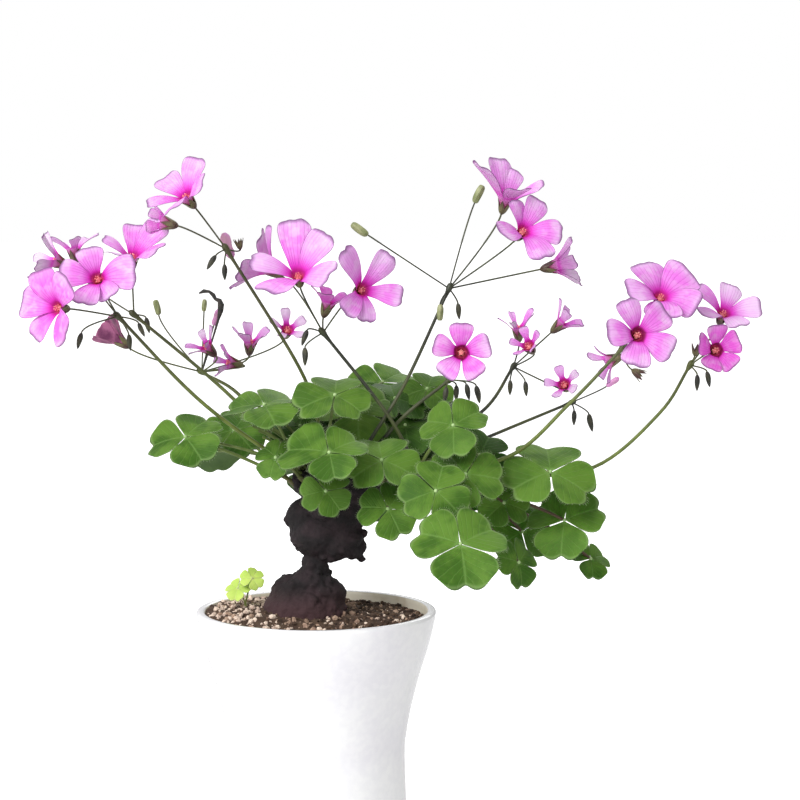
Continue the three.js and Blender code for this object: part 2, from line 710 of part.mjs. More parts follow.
function bloomBody(bloom) {
  const place = bloomPlace(bloom);
  const upper = [new THREE.Vector3(0, 0, throatFloor)];
  const lower = [new THREE.Vector3(0, 0, bloomFootHeight)];
  const faces = [];
  const ring = petalCount * 2;
  for (let side = 0; side < ring; side += 1) {
    const angle = (turn * side) / ring;
    const outward = new THREE.Vector3(Math.cos(angle), Math.sin(angle), 0);
    upper.push(outward.clone().multiplyScalar(throatRadius).setZ(throatHeight));
    const outside = outward.multiplyScalar(throatRadius + throatWall);
    lower.push(outside.setZ(throatHeight - petalThickness * half));
    faces.push([0, 1 + side, 1 + ((side + 1) % ring)]);
  }
  const turns = bloom.turns ?? Array(petalCount).fill(0);
  const angles = turns.map((extra, petal) => (turn * petal) / petalCount + extra * degree);
  for (let petal = 0; petal < petalCount; petal += 1) {
    const angle = angles[petal];
    const room = [-1, 0, 1].map((side) => petalRoom(angles, petal, side));
    const outward = new THREE.Vector3(Math.cos(angle), Math.sin(angle), 0);
    const across = new THREE.Vector3(-Math.sin(angle), Math.cos(angle), 0);
    const share = bloom.lengths?.[petal] ?? 1;
    const middle = 1 + petal * 2;
    const before = 1 + ((petal * 2 + ring - 1) % ring);
    let row = [before, middle, middle + 1];
    const width = bloom.width ?? 1;
    const rows = petalRows.map((along, step) => ({ along, wide: petalHalfWidths[step] * width }));
    const drawn = bloom.reach < smallReach ? rows.slice(1) : rows;
    drawn.forEach(({ along, wide }, place) => {
      const { point, slope, length } = petalLine(bloom, along, share);
      const down = outward.clone().multiplyScalar(slope.y * petalThickness);
      down.setZ(-slope.x * petalThickness);
      const next = [-1, 0, 1].map((side) => {
        const tip = place === drawn.length - 1 && side === 0 ? petalTip : 0;
        const reach = point.x + tip * length;
        const spot = outward.clone().multiplyScalar(reach);
        spot.addScaledVector(across, side * Math.min(wide * length, reach * room[side + 1]));
        spot.setZ(point.y + petalCrown * length * (side === 0 ? 0 : 1));
        upper.push(spot);
        lower.push(spot.clone().add(down));
        return upper.length - 1;
      });
      for (const side of [0, 1]) {
        faces.push([row[side], next[side], next[side + 1]]);
        faces.push([row[side], next[side + 1], row[side + 1]]);
      }
      row = next;
    });
  }
  for (const point of [...upper, ...lower]) {
    point.applyMatrix4(place);
  }
  return blade(upper, lower, faces);
}

// The fine stalk from the hub to a bloom or bud, as stations that end at its foot
function pedicelStations(hub, foot, facing) {
  const control = foot.clone().addScaledVector(facing, -hub.distanceTo(foot) * pedicelBend);
  const curve = new THREE.QuadraticBezierCurve3(hub, control, foot);
  return stationsOn(curve, pedicelRadius, pedicelRadius, pedicelSteps);
}

// A bloom's fine stalk and calyx in one skin
function bloomStand(hub, bloom) {
  const place = bloomPlace(bloom);
  const foot = new THREE.Vector3(0, 0, -calyxFootRadius).applyMatrix4(place);
  const facing = vector(bloom.facing).normalize();
  const guide = new THREE.Vector3().setFromMatrixColumn(place, 0);
  const stations = pedicelStations(hub, foot, facing).reverse();
  stations.forEach((station) => station.way.negate());
  const rings = sweep(stations, petalCount, guide).map((ring) => [ring[0], ...ring.slice(1).reverse()]);
  return loft([[hub], ...rings.reverse(), ...calyxRings(place)]);
}

// A bud and its fine stalk in one skin
function budStand(hub, bud) {
  const foot = vector(bud.foot);
  const facing = vector(bud.points).normalize();
  const stations = pedicelStations(hub, foot, facing);
  for (const [along, radius] of budOutline) {
    const centre = foot.clone().addScaledVector(facing, along * bud.size);
    stations.push({ centre, way: facing, radius: radius * bud.size });
  }
  const tip = foot.clone().addScaledVector(facing, budLength * bud.size);
  return loft([[hub], ...sweep(stations, budSides, guideFor(stations[0].way)), [tip]]);
}

// A stalk's smooth line through its points
function umbelCurve(points) {
  return new THREE.CatmullRomCurve3(points.map(vector), false, "catmullrom", half);
}

function umbelBody(umbel, index) {
  const curve = umbelCurve(umbel);
  const hub = vector(umbel.at(-1));
  const way = curve.getTangentAt(1);
  const stations = stationsOn(curve, stalkFootRadius, stalkTipRadius, stalkSteps);
  stations.push({ centre: hub.clone().addScaledVector(way, hubLength * half), way, radius: hubRadius });
  stations[stalkSteps].centre.addScaledVector(way, -hubLength * half);
  const rings = sweep(stations, stalkSides, guideFor(stations[0].way));
  const top = hub.clone().addScaledVector(way, hubLength * hubCrown);
  const pieces = [loft([[stations[0].centre], ...rings, [top]])];
  blooms.forEach((bloom) => {
    if (bloom.umbel === index) {
      pieces.push(bloomStand(hub, bloom));
    }
  });
  buds.forEach((bud) => {
    if (bud.umbel === index) {
      pieces.push(budStand(hub, bud));
    }
  });
  return wasm.Manifold.union(pieces).simplify(mergeLength);
}

// Where a leaf's hub stands: first axis along the heading, third axis along its normal
function leafPlace(leaf) {
  const lean = leaf.lean * degree;
  const yaw = leaf.yaw * degree;
  const normal = new THREE.Vector3(Math.sin(yaw), -Math.cos(yaw), 0);
  normal.multiplyScalar(Math.sin(lean)).setZ(Math.cos(lean));
  const level = new THREE.Vector3(Math.cos(yaw), Math.sin(yaw), 0);
  level.applyAxisAngle(normal, leaf.heading * degree);
  const second = new THREE.Vector3().crossVectors(normal, level);
  return new THREE.Matrix4().makeBasis(level, second, normal).setPosition(vector(leaf.centre));
}

// Height of the blade over the leaf's own plane: folded up at the sides, drooping outward
function leafRise(along, aside, length) {
  return (leafletFold * Math.abs(aside) - leafletDroop * along * along) * length;
}

// A leaf and its petiole in one skin: leaflets above and below, the petiole from the hub below
function leafBody(leaf, start, radius) {
  const place = leafPlace(leaf);
  const upper = [];
  const above = [];
  const below = [];
  const hubAngle = (side) => (turn * (side + half)) / leafletCount;
  for (let side = 0; side < leafletCount; side += 1) {
    const angle = hubAngle(side);
    upper.push(new THREE.Vector3(leafHub * Math.cos(angle), leafHub * Math.sin(angle), 0));
  }
  above.push([0, 1, 2]);
  for (let leaflet = 0; leaflet < leafletCount; leaflet += 1) {
    const angle = (turn * leaflet) / leafletCount;
    const add = (along, aside) => {
      const size = leaf.length * (leaf.sizes?.[leaflet] ?? 1);
      const reach = along * size;
      const wide = aside * size;
      const x = reach * Math.cos(angle) - wide * Math.sin(angle);
      const y = reach * Math.sin(angle) + wide * Math.cos(angle);
      upper.push(new THREE.Vector3(x, y, leafRise(along, aside, size)));
      return upper.length - 1;
    };
    const [first, second] = leafletRib.map((along) => add(along, 0));
    const left = leafletOutline.map(([along, aside]) => add(along, aside));
    const right = leafletOutline.map(([along, aside]) => add(along, -aside));
    const leftHub = leaflet;
    const rightHub = (leaflet + leafletCount - 1) % leafletCount;
    const faces = [
      [rightHub, first, leftHub],
      [leftHub, first, left[0]],
      [rightHub, right[0], first],
      [first, left[1], left[0]],
      [first, second, left[1]],
      [second, left[2], left[1]],
      [second, left[3], left[2]],
      [first, right[0], right[1]],
      [first, right[1], second],
      [second, right[1], right[2]],
      [second, right[2], right[3]],
    ];
    above.push(...faces);
    below.push(...faces);
  }
  const count = upper.length;
  const drop = bladeThickness * bladeSlope;
  const lower = upper.map((point) => point.clone().setZ(point.z - drop));
  const points = [...upper, ...lower];
  points.forEach((point) => point.applyMatrix4(place));
  const faces = above.map((face) => [...face]);
  below.forEach(([first, second, third]) => faces.push([first + count, third + count, second + count]));
  for (const [from, to] of rimOf(above)) {
    faces.push([from, from + count, to + count], [from, to + count, to]);
  }
  const curve = leafCurve(start, leaf);
  const stations = stationsOn(curve, radius, radius, petioleSteps).reverse().slice(1);
  const normal = new THREE.Vector3().setFromMatrixColumn(place, 2);
  const guide = lower[0].clone().sub(new THREE.Vector3(0, 0, -drop).applyMatrix4(place));
  guide.addScaledVector(normal, -guide.dot(normal));
  let high = count;
  for (const ring of sweep(stations, leafletCount, guide)) {
    const low = points.length;
    points.push(...ring);
    for (let side = 0; side < leafletCount; side += 1) {
      const next = (side + 1) % leafletCount;
      faces.push([low + side, low + next, high + next], [low + side, high + next, high + side]);
    }
    high = low;
  }
  faces.push([high, high + 2, high + 1]);
  return solid(points, faces);
}

// The short shared foot of a pair, leaning toward its two leaves
function stubCurve(pair) {
  const foot = vector(pair.foot);
  const way = new THREE.Vector3();
  for (const leaf of pair.leaves) {
    way.add(vector(leaf.centre).sub(foot).setZ(0).normalize());
  }
  way.normalize().setZ(pair.climb ?? petioleStubRise).normalize();
  return new THREE.LineCurve3(foot, foot.clone().addScaledVector(way, petioleStub));
}

function leafCurve(start, leaf) {
  const normal = new THREE.Vector3().setFromMatrixColumn(leafPlace(leaf), 2);
  const end = vector(leaf.centre).addScaledVector(normal, -bladeThickness * half);
  const middle = start.clone().add(end).multiplyScalar(half);
  middle.z += leaf.rise;
  return arc(start, middle, end);
}

function leafPairBody(pair, footRadius, tipRadius) {
  const stub = stubCurve(pair);
  const fork = stub.getPointAt(petioleFork);
  const pieces = [bar(stub, footRadius, footRadius, petioleSides, 1)];
  for (const leaf of pair.leaves) {
    pieces.push(leafBody(leaf, fork, tipRadius));
  }
  return wasm.Manifold.union(pieces).simplify(mergeLength);
}

const part = new THREE.Group();
part.name = "potted_pink_sorrel";

function addPiece(name, body, colour) {
  const { vertProperties, triVerts, numProp } = body.getMesh();
  const positions = [];
  for (let start = 0; start < vertProperties.length; start += numProp) {
    positions.push(vertProperties[start], vertProperties[start + 1], vertProperties[start + 2]);
  }
  const geometry = new THREE.BufferGeometry();
  geometry.setAttribute("position", new THREE.Float32BufferAttribute(positions, 3));
  geometry.setIndex([...triVerts]);
  geometry.computeVertexNormals();
  const mesh = new THREE.Mesh(geometry, new THREE.MeshStandardMaterial({ color: colour }));
  mesh.name = name;
  part.add(mesh);
}

function numbered(name, index) {
  return `${name}_${String(index + 1).padStart(2, "0")}`;
}

const stalkSockets = umbels.map((umbel) => socket(umbelCurve(umbel), stalkFootRadius));
const leafSockets = leafPairs.map((pair) => socket(stubCurve(pair), petioleFootRadius));
const sockets = wasm.Manifold.union([...stalkSockets, ...leafSockets]);
const tuber = makeTuber().subtract(sockets).simplify(mergeLength);
const seedlingSocket = socket(stubCurve(seedling), seedlingRadius);

addPiece("pot", makePot(), colours.glaze);
addPiece("soil", makeSoil().subtract(tuberHole()).subtract(seedlingSocket), colours.soil);
addPiece("tuber", tuber, colours.bark);
addPiece("seedling", leafPairBody(seedling, seedlingRadius, seedlingRadius), colours.sprout);
umbels.forEach((umbel, index) => {
  addPiece(numbered("flower_stalk", index), umbelBody(umbel, index), colours.stalk);
});
blooms.forEach((bloom, index) => {
  addPiece(numbered("bloom", index), bloomBody(bloom), colours.petal);
});
leafPairs.forEach((pair, index) => {
  addPiece(
    numbered("leaf_pair", index),
    leafPairBody(pair, petioleFootRadius, petioleTipRadius),
    colours.leaf,
  );
});

export default part;
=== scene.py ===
import math
import random

import bpy
from mathutils import Matrix, Vector, noise


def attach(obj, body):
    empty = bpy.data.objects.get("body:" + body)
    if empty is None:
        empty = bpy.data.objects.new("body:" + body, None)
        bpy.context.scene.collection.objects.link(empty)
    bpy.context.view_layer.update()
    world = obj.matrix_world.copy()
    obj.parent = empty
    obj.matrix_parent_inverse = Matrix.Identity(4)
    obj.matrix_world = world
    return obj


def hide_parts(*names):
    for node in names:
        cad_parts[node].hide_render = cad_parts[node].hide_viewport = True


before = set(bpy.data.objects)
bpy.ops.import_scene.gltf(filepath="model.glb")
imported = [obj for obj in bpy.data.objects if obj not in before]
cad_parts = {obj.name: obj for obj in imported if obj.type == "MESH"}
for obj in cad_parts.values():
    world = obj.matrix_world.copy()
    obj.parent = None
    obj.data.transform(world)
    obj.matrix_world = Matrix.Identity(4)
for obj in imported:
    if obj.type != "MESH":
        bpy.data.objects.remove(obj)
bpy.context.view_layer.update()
bpy.ops.object.select_all(action="DESELECT")
print("frame loaded:", len(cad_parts), "nodes")

mm = 0.001
up = Vector((0, 0, 1))

# helpers: sizes are in millimetres until a mesh is written


def at(xyz):
    return Vector(xyz) * mm


def pickOnly(*pieces):
    bpy.ops.object.select_all(action="DESELECT")
    for piece in pieces:
        piece.select_set(True)
    bpy.context.view_layer.objects.active = pieces[0]


def justMade(name):
    piece = bpy.context.active_object
    piece.name = piece.data.name = name
    return piece


def copyOf(template):
    piece = template.copy()
    piece.data = template.data.copy()  # every copy has its own mesh
    bpy.context.scene.collection.objects.link(piece)
    return piece


def joined(parts, name):
    pickOnly(*parts)
    if len(parts) > 1:
        bpy.ops.object.join()
    return justMade(name)


def applyAll(piece):
    pickOnly(piece)
    for modifier in list(piece.modifiers):
        bpy.ops.object.modifier_apply(modifier=modifier.name)


def putAtOrigin(piece):
    pickOnly(piece)
    bpy.ops.object.transform_apply(location=True, rotation=True, scale=True)


def setTone(piece, value):
    mesh = piece.data
    layer = mesh.attributes.get("tone") or mesh.attributes.new("tone", "FLOAT", "POINT")
    layer.data.foreach_set("value", [value] * len(mesh.vertices))


def dress(piece, *materials, tone=None):
    for material in materials:
        piece.data.materials.append(material)
    if tone is not None:
        setTone(piece, tone)


def between(table, place):
    for (low, first), (high, second) in zip(table, table[1:]):
        if place <= high:
            return first + (second - first) * (place - low) / (high - low)
    return table[-1][1]


def clamped(value):
    return min(max(value, 0), 1)


def smooth(piece):
    pickOnly(piece)
    bpy.ops.object.shade_smooth()


def stand(piece, slotName, *nodes):
    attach(piece, "root")
    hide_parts(*nodes)


def basis(facing, spin):
    third = Vector(facing).normalized()
    guide = up if abs(third.z) < 0.9 else Vector((1, 0, 0))
    first = guide.cross(third).normalized()
    first = Matrix.Rotation(spin, 3, third) @ first
    return Matrix((first, third.cross(first), third)).transposed().to_4x4()


def tubes(name, runs, resolution=2):
    curve = bpy.data.curves.new(name, "CURVE")
    curve.dimensions = "3D"
    curve.bevel_depth = 1
    curve.bevel_resolution = resolution
    curve.use_fill_caps = True
    for run in runs:
        strand = curve.splines.new("POLY")
        strand.points.add(len(run) - 1)
        for stop, (xyz, radius) in zip(strand.points, run):
            stop.co = (*at(xyz), 1)
            stop.radius = radius * mm
    piece = bpy.data.objects.new(name, curve)
    bpy.context.scene.collection.objects.link(piece)
    pickOnly(piece)
    bpy.ops.object.convert(target="MESH")
    return justMade(name)


def quadratic(start, control, end, share):
    return start * (1 - share) ** 2 + control * 2 * share * (1 - share) + end * share ** 2


def tapered(start, control, end, firstRadius, lastRadius, steps=10):
    run = []
    for step in range(steps + 1):
        share = step / steps
        radius = firstRadius + (lastRadius - firstRadius) * share
        run.append((quadratic(start, control, end, share), radius))
    return run


def spline(a, b, c, d, share):  # a smooth run from b to c, on its way from a to d
    return (b * 2 + (c - a) * share + (a * 2 - b * 5 + c * 4 - d) * share ** 2
            + (b * 3 - a - c * 3 + d) * share ** 3) / 2


# materials: shared effects are groups, each material sets its own values


def newGroup(name, inputs, outputs):
    tree = bpy.data.node_groups.new(name, "ShaderNodeTree")
    for label, kind, value in inputs:
        socket = tree.interface.new_socket(name=label, in_out="INPUT", socket_type=kind)
        socket.default_value = value
    for label, kind in outputs:
        tree.interface.new_socket(name=label, in_out="OUTPUT", socket_type=kind)
    return tree, tree.nodes.new("NodeGroupInput").outputs, tree.nodes.new("NodeGroupOutput").inputs


def math2(tree, operation, first, second=None, third=None):
    node = tree.nodes.new("ShaderNodeMath")
    node.operation = operation
    for socket, value in zip(node.inputs, (first, second, third)):
        if value is None:
            continue
        if isinstance(value, (int, float)):
            socket.default_value = value
        else:
            tree.links.new(value, socket)
    return node.outputs[0]


def times(tree, first, second):
    return math2(tree, "MULTIPLY", first, second)


def offMiddle(tree, across):  # 0 at the middle of a range from 0 to 1, and 1 at both its ends
    return math2(tree, "ABSOLUTE", math2(tree, "MULTIPLY_ADD", across, 2.0, -1.0))


def ranged(tree, value, low, high, first=0.0, second=1.0):
    node = tree.nodes.new("ShaderNodeMapRange")
    node.interpolation_type = "SMOOTHSTEP"
    for label, item in (("From Min", low), ("From Max", high), ("To Min", first), ("To Max", second)):
        if isinstance(item, (int, float)):
            node.inputs[label].default_value = item
        else:
            tree.links.new(item, node.inputs[label])
    tree.links.new(value, node.inputs["Value"])
    return node.outputs["Result"]


def noiseOf(tree, scale, detail=3.0, rough=0.5):
    place = tree.nodes.new("ShaderNodeTexCoord").outputs["Object"]
    node = tree.nodes.new("ShaderNodeTexNoise")
    node.inputs["Detail"].default_value = detail
    node.inputs["Roughness"].default_value = rough
    if isinstance(scale, (int, float)):
        node.inputs["Scale"].default_value = scale
    else:
        tree.links.new(scale, node.inputs["Scale"])
    tree.links.new(place, node.inputs["Vector"])
    return node.outputs["Fac"]


def mixed(tree, share, first, second, blend="MIX"):
    node = tree.nodes.new("ShaderNodeMix")
    node.data_type = "RGBA"
    node.blend_type = blend
    for place, value in ((0, share), (6, first), (7, second)):  # the sockets that a colour mix shows
        if isinstance(value, (int, float)):
            node.inputs[place].default_value = value
        elif isinstance(value, tuple):
            node.inputs[place].default_value = (*value, 1)
        else:
            tree.links.new(value, node.inputs[place])
    return node.outputs[2]


def ramp(tree, share, stops):
    node = tree.nodes.new("ShaderNodeValToRGB")
    while len(node.color_ramp.elements) < len(stops):
        node.color_ramp.elements.new(0.5)
    for element, (place, colour) in zip(node.color_ramp.elements, stops):
        element.position = place
        element.color = (*colour, 1)
    tree.links.new(share, node.inputs["Fac"])
    return node.outputs["Color"]


def attributeOf(tree, name):
    node = tree.nodes.new("ShaderNodeAttribute")
    node.attribute_name = name
    return node.outputs["Fac"]


def uvOf(tree):
    node = tree.nodes.new("ShaderNodeSeparateXYZ")
    tree.links.new(tree.nodes.new("ShaderNodeTexCoord").outputs["UV"], node.inputs[0])
    return node.outputs["X"], node.outputs["Y"]


def heightOf(tree):
    node = tree.nodes.new("ShaderNodeSeparateXYZ")
    tree.links.new(tree.nodes.new("ShaderNodeTexCoord").outputs["Object"], node.inputs[0])
    return node.outputs["Z"]


def placed(tree, group, **values):
    node = tree.nodes.new("ShaderNodeGroup")
    node.node_tree = group
    for label, value in values.items():
        node.inputs[label].default_value = (*value, 1) if isinstance(value, tuple) else value
    return node.outputs


def newMaterial(name, roughness, colour=None, **uniform):
    material = bpy.data.materials.new(name)
    material.use_nodes = True
    shader = material.node_tree.nodes["Principled BSDF"]
    shader.inputs["Roughness"].default_value = roughness
    if colour:
        shader.inputs["Base Color"].default_value = (*colour, 1)
    for label, value in uniform.items():
        shader.inputs[label.replace("_", " ")].default_value = value
    return material, material.node_tree, shader


def painted(tree, shader, colour):
    tree.links.new(colour, shader.inputs["Base Color"])


def bumped(tree, shader, height, distance, strength=1.0):
    node = tree.nodes.new("ShaderNodeBump")
    node.inputs["Distance"].default_value = distance * mm
    node.inputs["Strength"].default_value = strength
    tree.links.new(height, node.inputs["Height"])
    tree.links.new(node.outputs["Normal"], shader.inputs["Normal"])


# two tones in soft patches, with the patches as a mask
mottle, given, made = newGroup(
    "mottle",
    (("First", "NodeSocketColor", (1, 1, 1, 1)), ("Second", "NodeSocketColor", (0, 0, 0, 1)),
     ("Scale", "NodeSocketFloat", 100.0), ("Low", "NodeSocketFloat", 0.35),
     ("High", "NodeSocketFloat", 0.65)),
    (("Color", "NodeSocketColor"), ("Mask", "NodeSocketFloat")),
)
patches = ranged(mottle, noiseOf(mottle, given["Scale"], 4.0), given["Low"], given["High"])
mottle.links.new(mixed(mottle, patches, given["First"], given["Second"]), made["Color"])
mottle.links.new(patches, made["Mask"])

# thin lines over a sheet's own map: Along and Aside turn them, Count spaces them
lines, given, made = newGroup(
    "lines",
    (("Along", "NodeSocketFloat", 0.0), ("Aside", "NodeSocketFloat", 1.0),
     ("Count", "NodeSocketFloat", 5.0), ("Width", "NodeSocketFloat", 0.3),
     ("Waver", "NodeSocketFloat", 0.1)),
    (("Mask", "NodeSocketFloat"),),
)
mapU, mapV = uvOf(lines)
phase = times(lines, mapU, given["Along"])
phase = math2(lines, "MULTIPLY_ADD", offMiddle(lines, mapV), given["Aside"], phase)
waver = times(lines, noiseOf(lines, 260.0, 2.0), given["Waver"])
phase = math2(lines, "MULTIPLY_ADD", phase, given["Count"], waver)
offLine = offMiddle(lines, math2(lines, "FRACT", phase))
inside = math2(lines, "SUBTRACT", 1.0, given["Width"])
lines.links.new(ranged(lines, offLine, inside, 1.0), made["Mask"])

# the rim of a sheet, from its own map
rim, given, made = newGroup("rim", (("Width", "NodeSocketFloat", 0.05),), (("Mask", "NodeSocketFloat"),))
mapU, mapV = uvOf(rim)
outermost = math2(rim, "MAXIMUM", offMiddle(rim, mapV), mapU)
rim.links.new(ranged(rim, outermost, math2(rim, "SUBTRACT", 1.0, given["Width"]), 1.0), made["Mask"])


def shaded(tree, body, darkest, scale):  # a colour darkened in soft patches
    patches = placed(tree, mottle, First=(1.0, 1.0, 1.0), Second=darkest, Scale=scale)
    return mixed(tree, 1.0, body, patches["Color"], "MULTIPLY")


print("shared effects made")

# pot: lathed from its outline, with a rounded lip and a plain foot
potSettings = {
    "foot": [(26, 0), (30.4, 0), (31.4, 0.35)],
    "outline": [(32, 1.5), (30.7, 22), (29.6, 51), (30.3, 60), (31.9, 69), (34.6, 79.5), (37.3, 88),
                (39.3, 96), (40, 100.1)],
    "rim": 40,
    "height": 101,
    "lipRound": 0.9,
    "lipCorner": 0.3,
    "wall": 3,
    "floor": 6,
    "cove": 2,
    "basin": [(28.6, 0.8), (26, 0), (10, 0)],
    "sides": 96,
    "steps": 4,
    "insideReach": 37.3,
    "insideLevel": 5,
    "glaze": (0.9, 0.9, 0.9),
    "shade": (0.85, 0.84, 0.87),
    "inside": (0.74, 0.68, 0.55),
    "stain": (0.5, 0.4, 0.27),
    "speck": (0.3, 0.29, 0.3),
}


def potOutline():
    outer = []
    rows = potSettings["outline"]
    for place in range(len(rows) - 1):
        before, start = rows[max(place - 1, 0)], rows[place]
        end, after = rows[place + 1], rows[min(place + 2, len(rows) - 1)]
        for step in range(potSettings["steps"]):
            share = step / potSettings["steps"]
            outer.append(tuple(spline(*points, share) for points in zip(before, start, end, after)))
    outer.append(rows[-1])
    return outer


def makePot():
    rim, height, wall = potSettings["rim"], potSettings["height"], potSettings["wall"]
    lipRound, floor = potSettings["lipRound"], potSettings["floor"]
    corner = lipRound * potSettings["lipCorner"]
    outer = potOutline()
    inner = [(radius - wall, z) for radius, z in reversed(outer) if z > floor + potSettings["cove"]]
    lip = [(rim - corner, height - corner), (rim - lipRound, height),
           (rim - wall + lipRound, height), (rim - wall + corner, height - corner)]
    basin = [(radius, floor + above) for radius, above in potSettings["basin"]]
    rings = potSettings["foot"] + outer + lip + inner + basin
    radius, level = rings[0]
    bpy.ops.mesh.primitive_circle_add(vertices=potSettings["sides"], radius=radius * mm, fill_type="NGON")
    piece = justMade("whitePot")
    bpy.ops.object.mode_set(mode="EDIT")
    bpy.ops.mesh.select_all(action="SELECT")
    bpy.ops.mesh.flip_normals()
    for nextRadius, nextLevel in rings[1:]:
        climb, share = (nextLevel - level) * mm, nextRadius / radius
        bpy.ops.mesh.extrude_region_move(TRANSFORM_OT_translate={"value": (0, 0, climb)})
        bpy.ops.transform.resize(value=(share, share, 1), center_override=(0, 0, nextLevel * mm))
        radius, level = nextRadius, nextLevel
    bpy.ops.mesh.select_all(action="SELECT")
    bpy.ops.mesh.normals_make_consistent(inside=False)
    bpy.ops.object.mode_set(mode="OBJECT")
    smooth(piece)
    bpy.ops.object.shade_smooth_by_angle(angle=math.radians(50))
    return piece


glaze, tree, shader = newMaterial("whiteGlaze", 0.16, Coat_Weight=0.35, Coat_Roughness=0.06)
soft = placed(tree, mottle, First=potSettings["glaze"], Second=potSettings["shade"], Scale=38.0)
specks = ranged(tree, noiseOf(tree, 130.0, 5.0, 0.65), 0.735, 0.76)
body = shaded(tree, soft["Color"], (0.96, 0.96, 0.97), 420.0)
painted(tree, shader, mixed(tree, specks, body, potSettings["speck"]))
tree.links.new(ranged(tree, noiseOf(tree, 90.0), 0.3, 0.7, 0.12, 0.24), shader.inputs["Roughness"])
bumped(tree, shader, noiseOf(tree, 55.0, 2.0), 0.25, 0.5)

insideGlaze, tree, shader = newMaterial("stainedInside", 0.4)
stain = placed(tree, mottle, First=potSettings["inside"], Second=potSettings["stain"], Scale=95.0,
               Low=0.5, High=0.8)
painted(tree, shader, stain["Color"])
bumped(tree, shader, noiseOf(tree, 160.0), 0.2, 0.5)

pot = makePot()
dress(pot, glaze, insideGlaze)
for face in pot.data.polygons:
    centre = face.center / mm
    reach = math.hypot(centre.x, centre.y)
    facingIn = face.normal.x * centre.x + face.normal.y * centre.y < 0
    within = reach < potSettings["insideReach"] and centre.z > potSettings["insideLevel"]
    face.material_index = 1 if facingIn and within else 0
stand(pot, "glaze", "pot")
print("pot done")


# soil: a heaped filling with crumbs over its top
soilSettings = {
    "level": 97.6,
    "heap": 2.6,
    "heapStart": 4,
    "heapEnd": 30,
    "mound": 3.6,
    "moundReach": 19,
    "tuber": (-4, 0),
    "edge": 36.9,
    "swell": 0.27,
    "swells": [(0.9, 0.4), (-0.5, 1.1)],
    "grains": [(0.55, 0.55, 0), (0.3, 1.6, 3)],
    "cells": 112,
    "walls": [(86, 0.905), (69, 0.857), (51, 0.92), (6.4, 1.06)],
    "groundTone": 0.2,
    "crumbs": 1900,
    "crumbReach": 36.4,
    "crumbSize": (0.32, 1.0),
    "crumbSides": [(0.8, 1.3), (0.7, 1.1), (0.55, 0.9)],
    "crumbLift": 0.15,
    "paleStart": 6,
    "paleRun": 18,
    "paleShares": [(0.08, 0.74), (0.34, 0.62)],
    "tones": {"dark": 0.0, "brown": 0.4, "umber": 0.62, "tan": 1.0},
    "dark": (0.045, 0.026, 0.018),
    "brown": (0.17, 0.105, 0.065),
    "umber": (0.5, 0.345, 0.25),
    "tan": (1.0, 0.82, 0.67),
}


def soilHeight(x, y):
    tuberX, tuberY = soilSettings["tuber"]
    away = math.hypot(x - tuberX, y - tuberY)
    start, end = soilSettings["heapStart"], soilSettings["heapEnd"]
    share = clamped((-x - start) / (end - start))
    heap = soilSettings["heap"] * share * share * (3 - 2 * share)
    mound = soilSettings["mound"] * math.exp(-((away / soilSettings["moundReach"]) ** 2))
    swell = sum(math.sin(x * wide + y * deep) for wide, deep in soilSettings["swells"])
    swell *= soilSettings["swell"]
    grain = sum(rise * noise.noise(Vector((x, y, layer)) * scale)
                for rise, scale, layer in soilSettings["grains"])
    return soilSettings["level"] + heap + mound + swell + grain


def makeSoil():
    edge, cells = soilSettings["edge"], soilSettings["cells"]
    bpy.ops.mesh.primitive_grid_add(x_subdivisions=cells, y_subdivisions=cells, size=2)
    ground = justMade("soilGround")
    for vertex in ground.data.vertices:
        x, y = vertex.co.x, vertex.co.y  # a square grid drawn into a disc
        longest = max(abs(x), abs(y))
        flat = math.hypot(x, y)
        scale = edge * longest / flat if flat else 0
        x, y = x * scale, y * scale
        vertex.co = at((x, y, soilHeight(x, y)))
    bpy.ops.object.mode_set(mode="EDIT")
    bpy.ops.mesh.select_all(action="SELECT")
    bpy.ops.mesh.region_to_loop()
    for level, share in soilSettings["walls"]:
        bpy.ops.mesh.extrude_region_move()
        bpy.ops.transform.resize(value=(share, share, 0), center_override=(0, 0, level * mm))
    bpy.ops.mesh.edge_face_add()
    bpy.ops.mesh.select_all(action="SELECT")
    bpy.ops.mesh.normals_make_consistent(inside=False)
    bpy.ops.object.mode_set(mode="OBJECT")
    smooth(ground)
    setTone(ground, soilSettings["groundTone"])
    return ground


def makeCrumbs():
    draw = random.Random(11)
    bpy.ops.mesh.primitive_ico_sphere_add(subdivisions=1, radius=1 * mm)
    crumb = justMade("crumb")
    least, more = soilSettings["crumbSize"]
    tones = soilSettings["tones"]
    parts = []
    for count in range(soilSettings["crumbs"]):
        reach = soilSettings["crumbReach"] * math.sqrt(draw.random())
        angle = draw.uniform(0, math.tau)
        x, y = reach * math.cos(angle), reach * math.sin(angle)
        size = least + more * draw.random() ** 3
        sides = [size * draw.uniform(*side) for side in soilSettings["crumbSides"]]
        turn = draw.uniform(0, math.tau)
        turned = Matrix.Rotation(turn, 4, (draw.gauss(0, 1), draw.gauss(0, 1), draw.gauss(0, 1)))
        lift = size * soilSettings["crumbLift"]
        spot = Matrix.Translation(at((x, y, soilHeight(x, y) + lift)))
        piece = copyOf(crumb)
        piece.data.transform(spot @ turned @ Matrix.Diagonal((*sides, 1)))
        pale = draw.random()
        leftHeap = clamped((-x - soilSettings["paleStart"]) / soilSettings["paleRun"])
        tanShare, umberShare = (share + rise * leftHeap for share, rise in soilSettings["paleShares"])
        if pale < tanShare:  # most of the tan crumbs lie on the heap at the left
            setTone(piece, tones["tan"])
        else:
            setTone(piece, tones["umber"] if pale < umberShare else draw.uniform(0, tones["brown"]))
        parts.append(piece)
    bpy.data.objects.remove(crumb)
    return parts


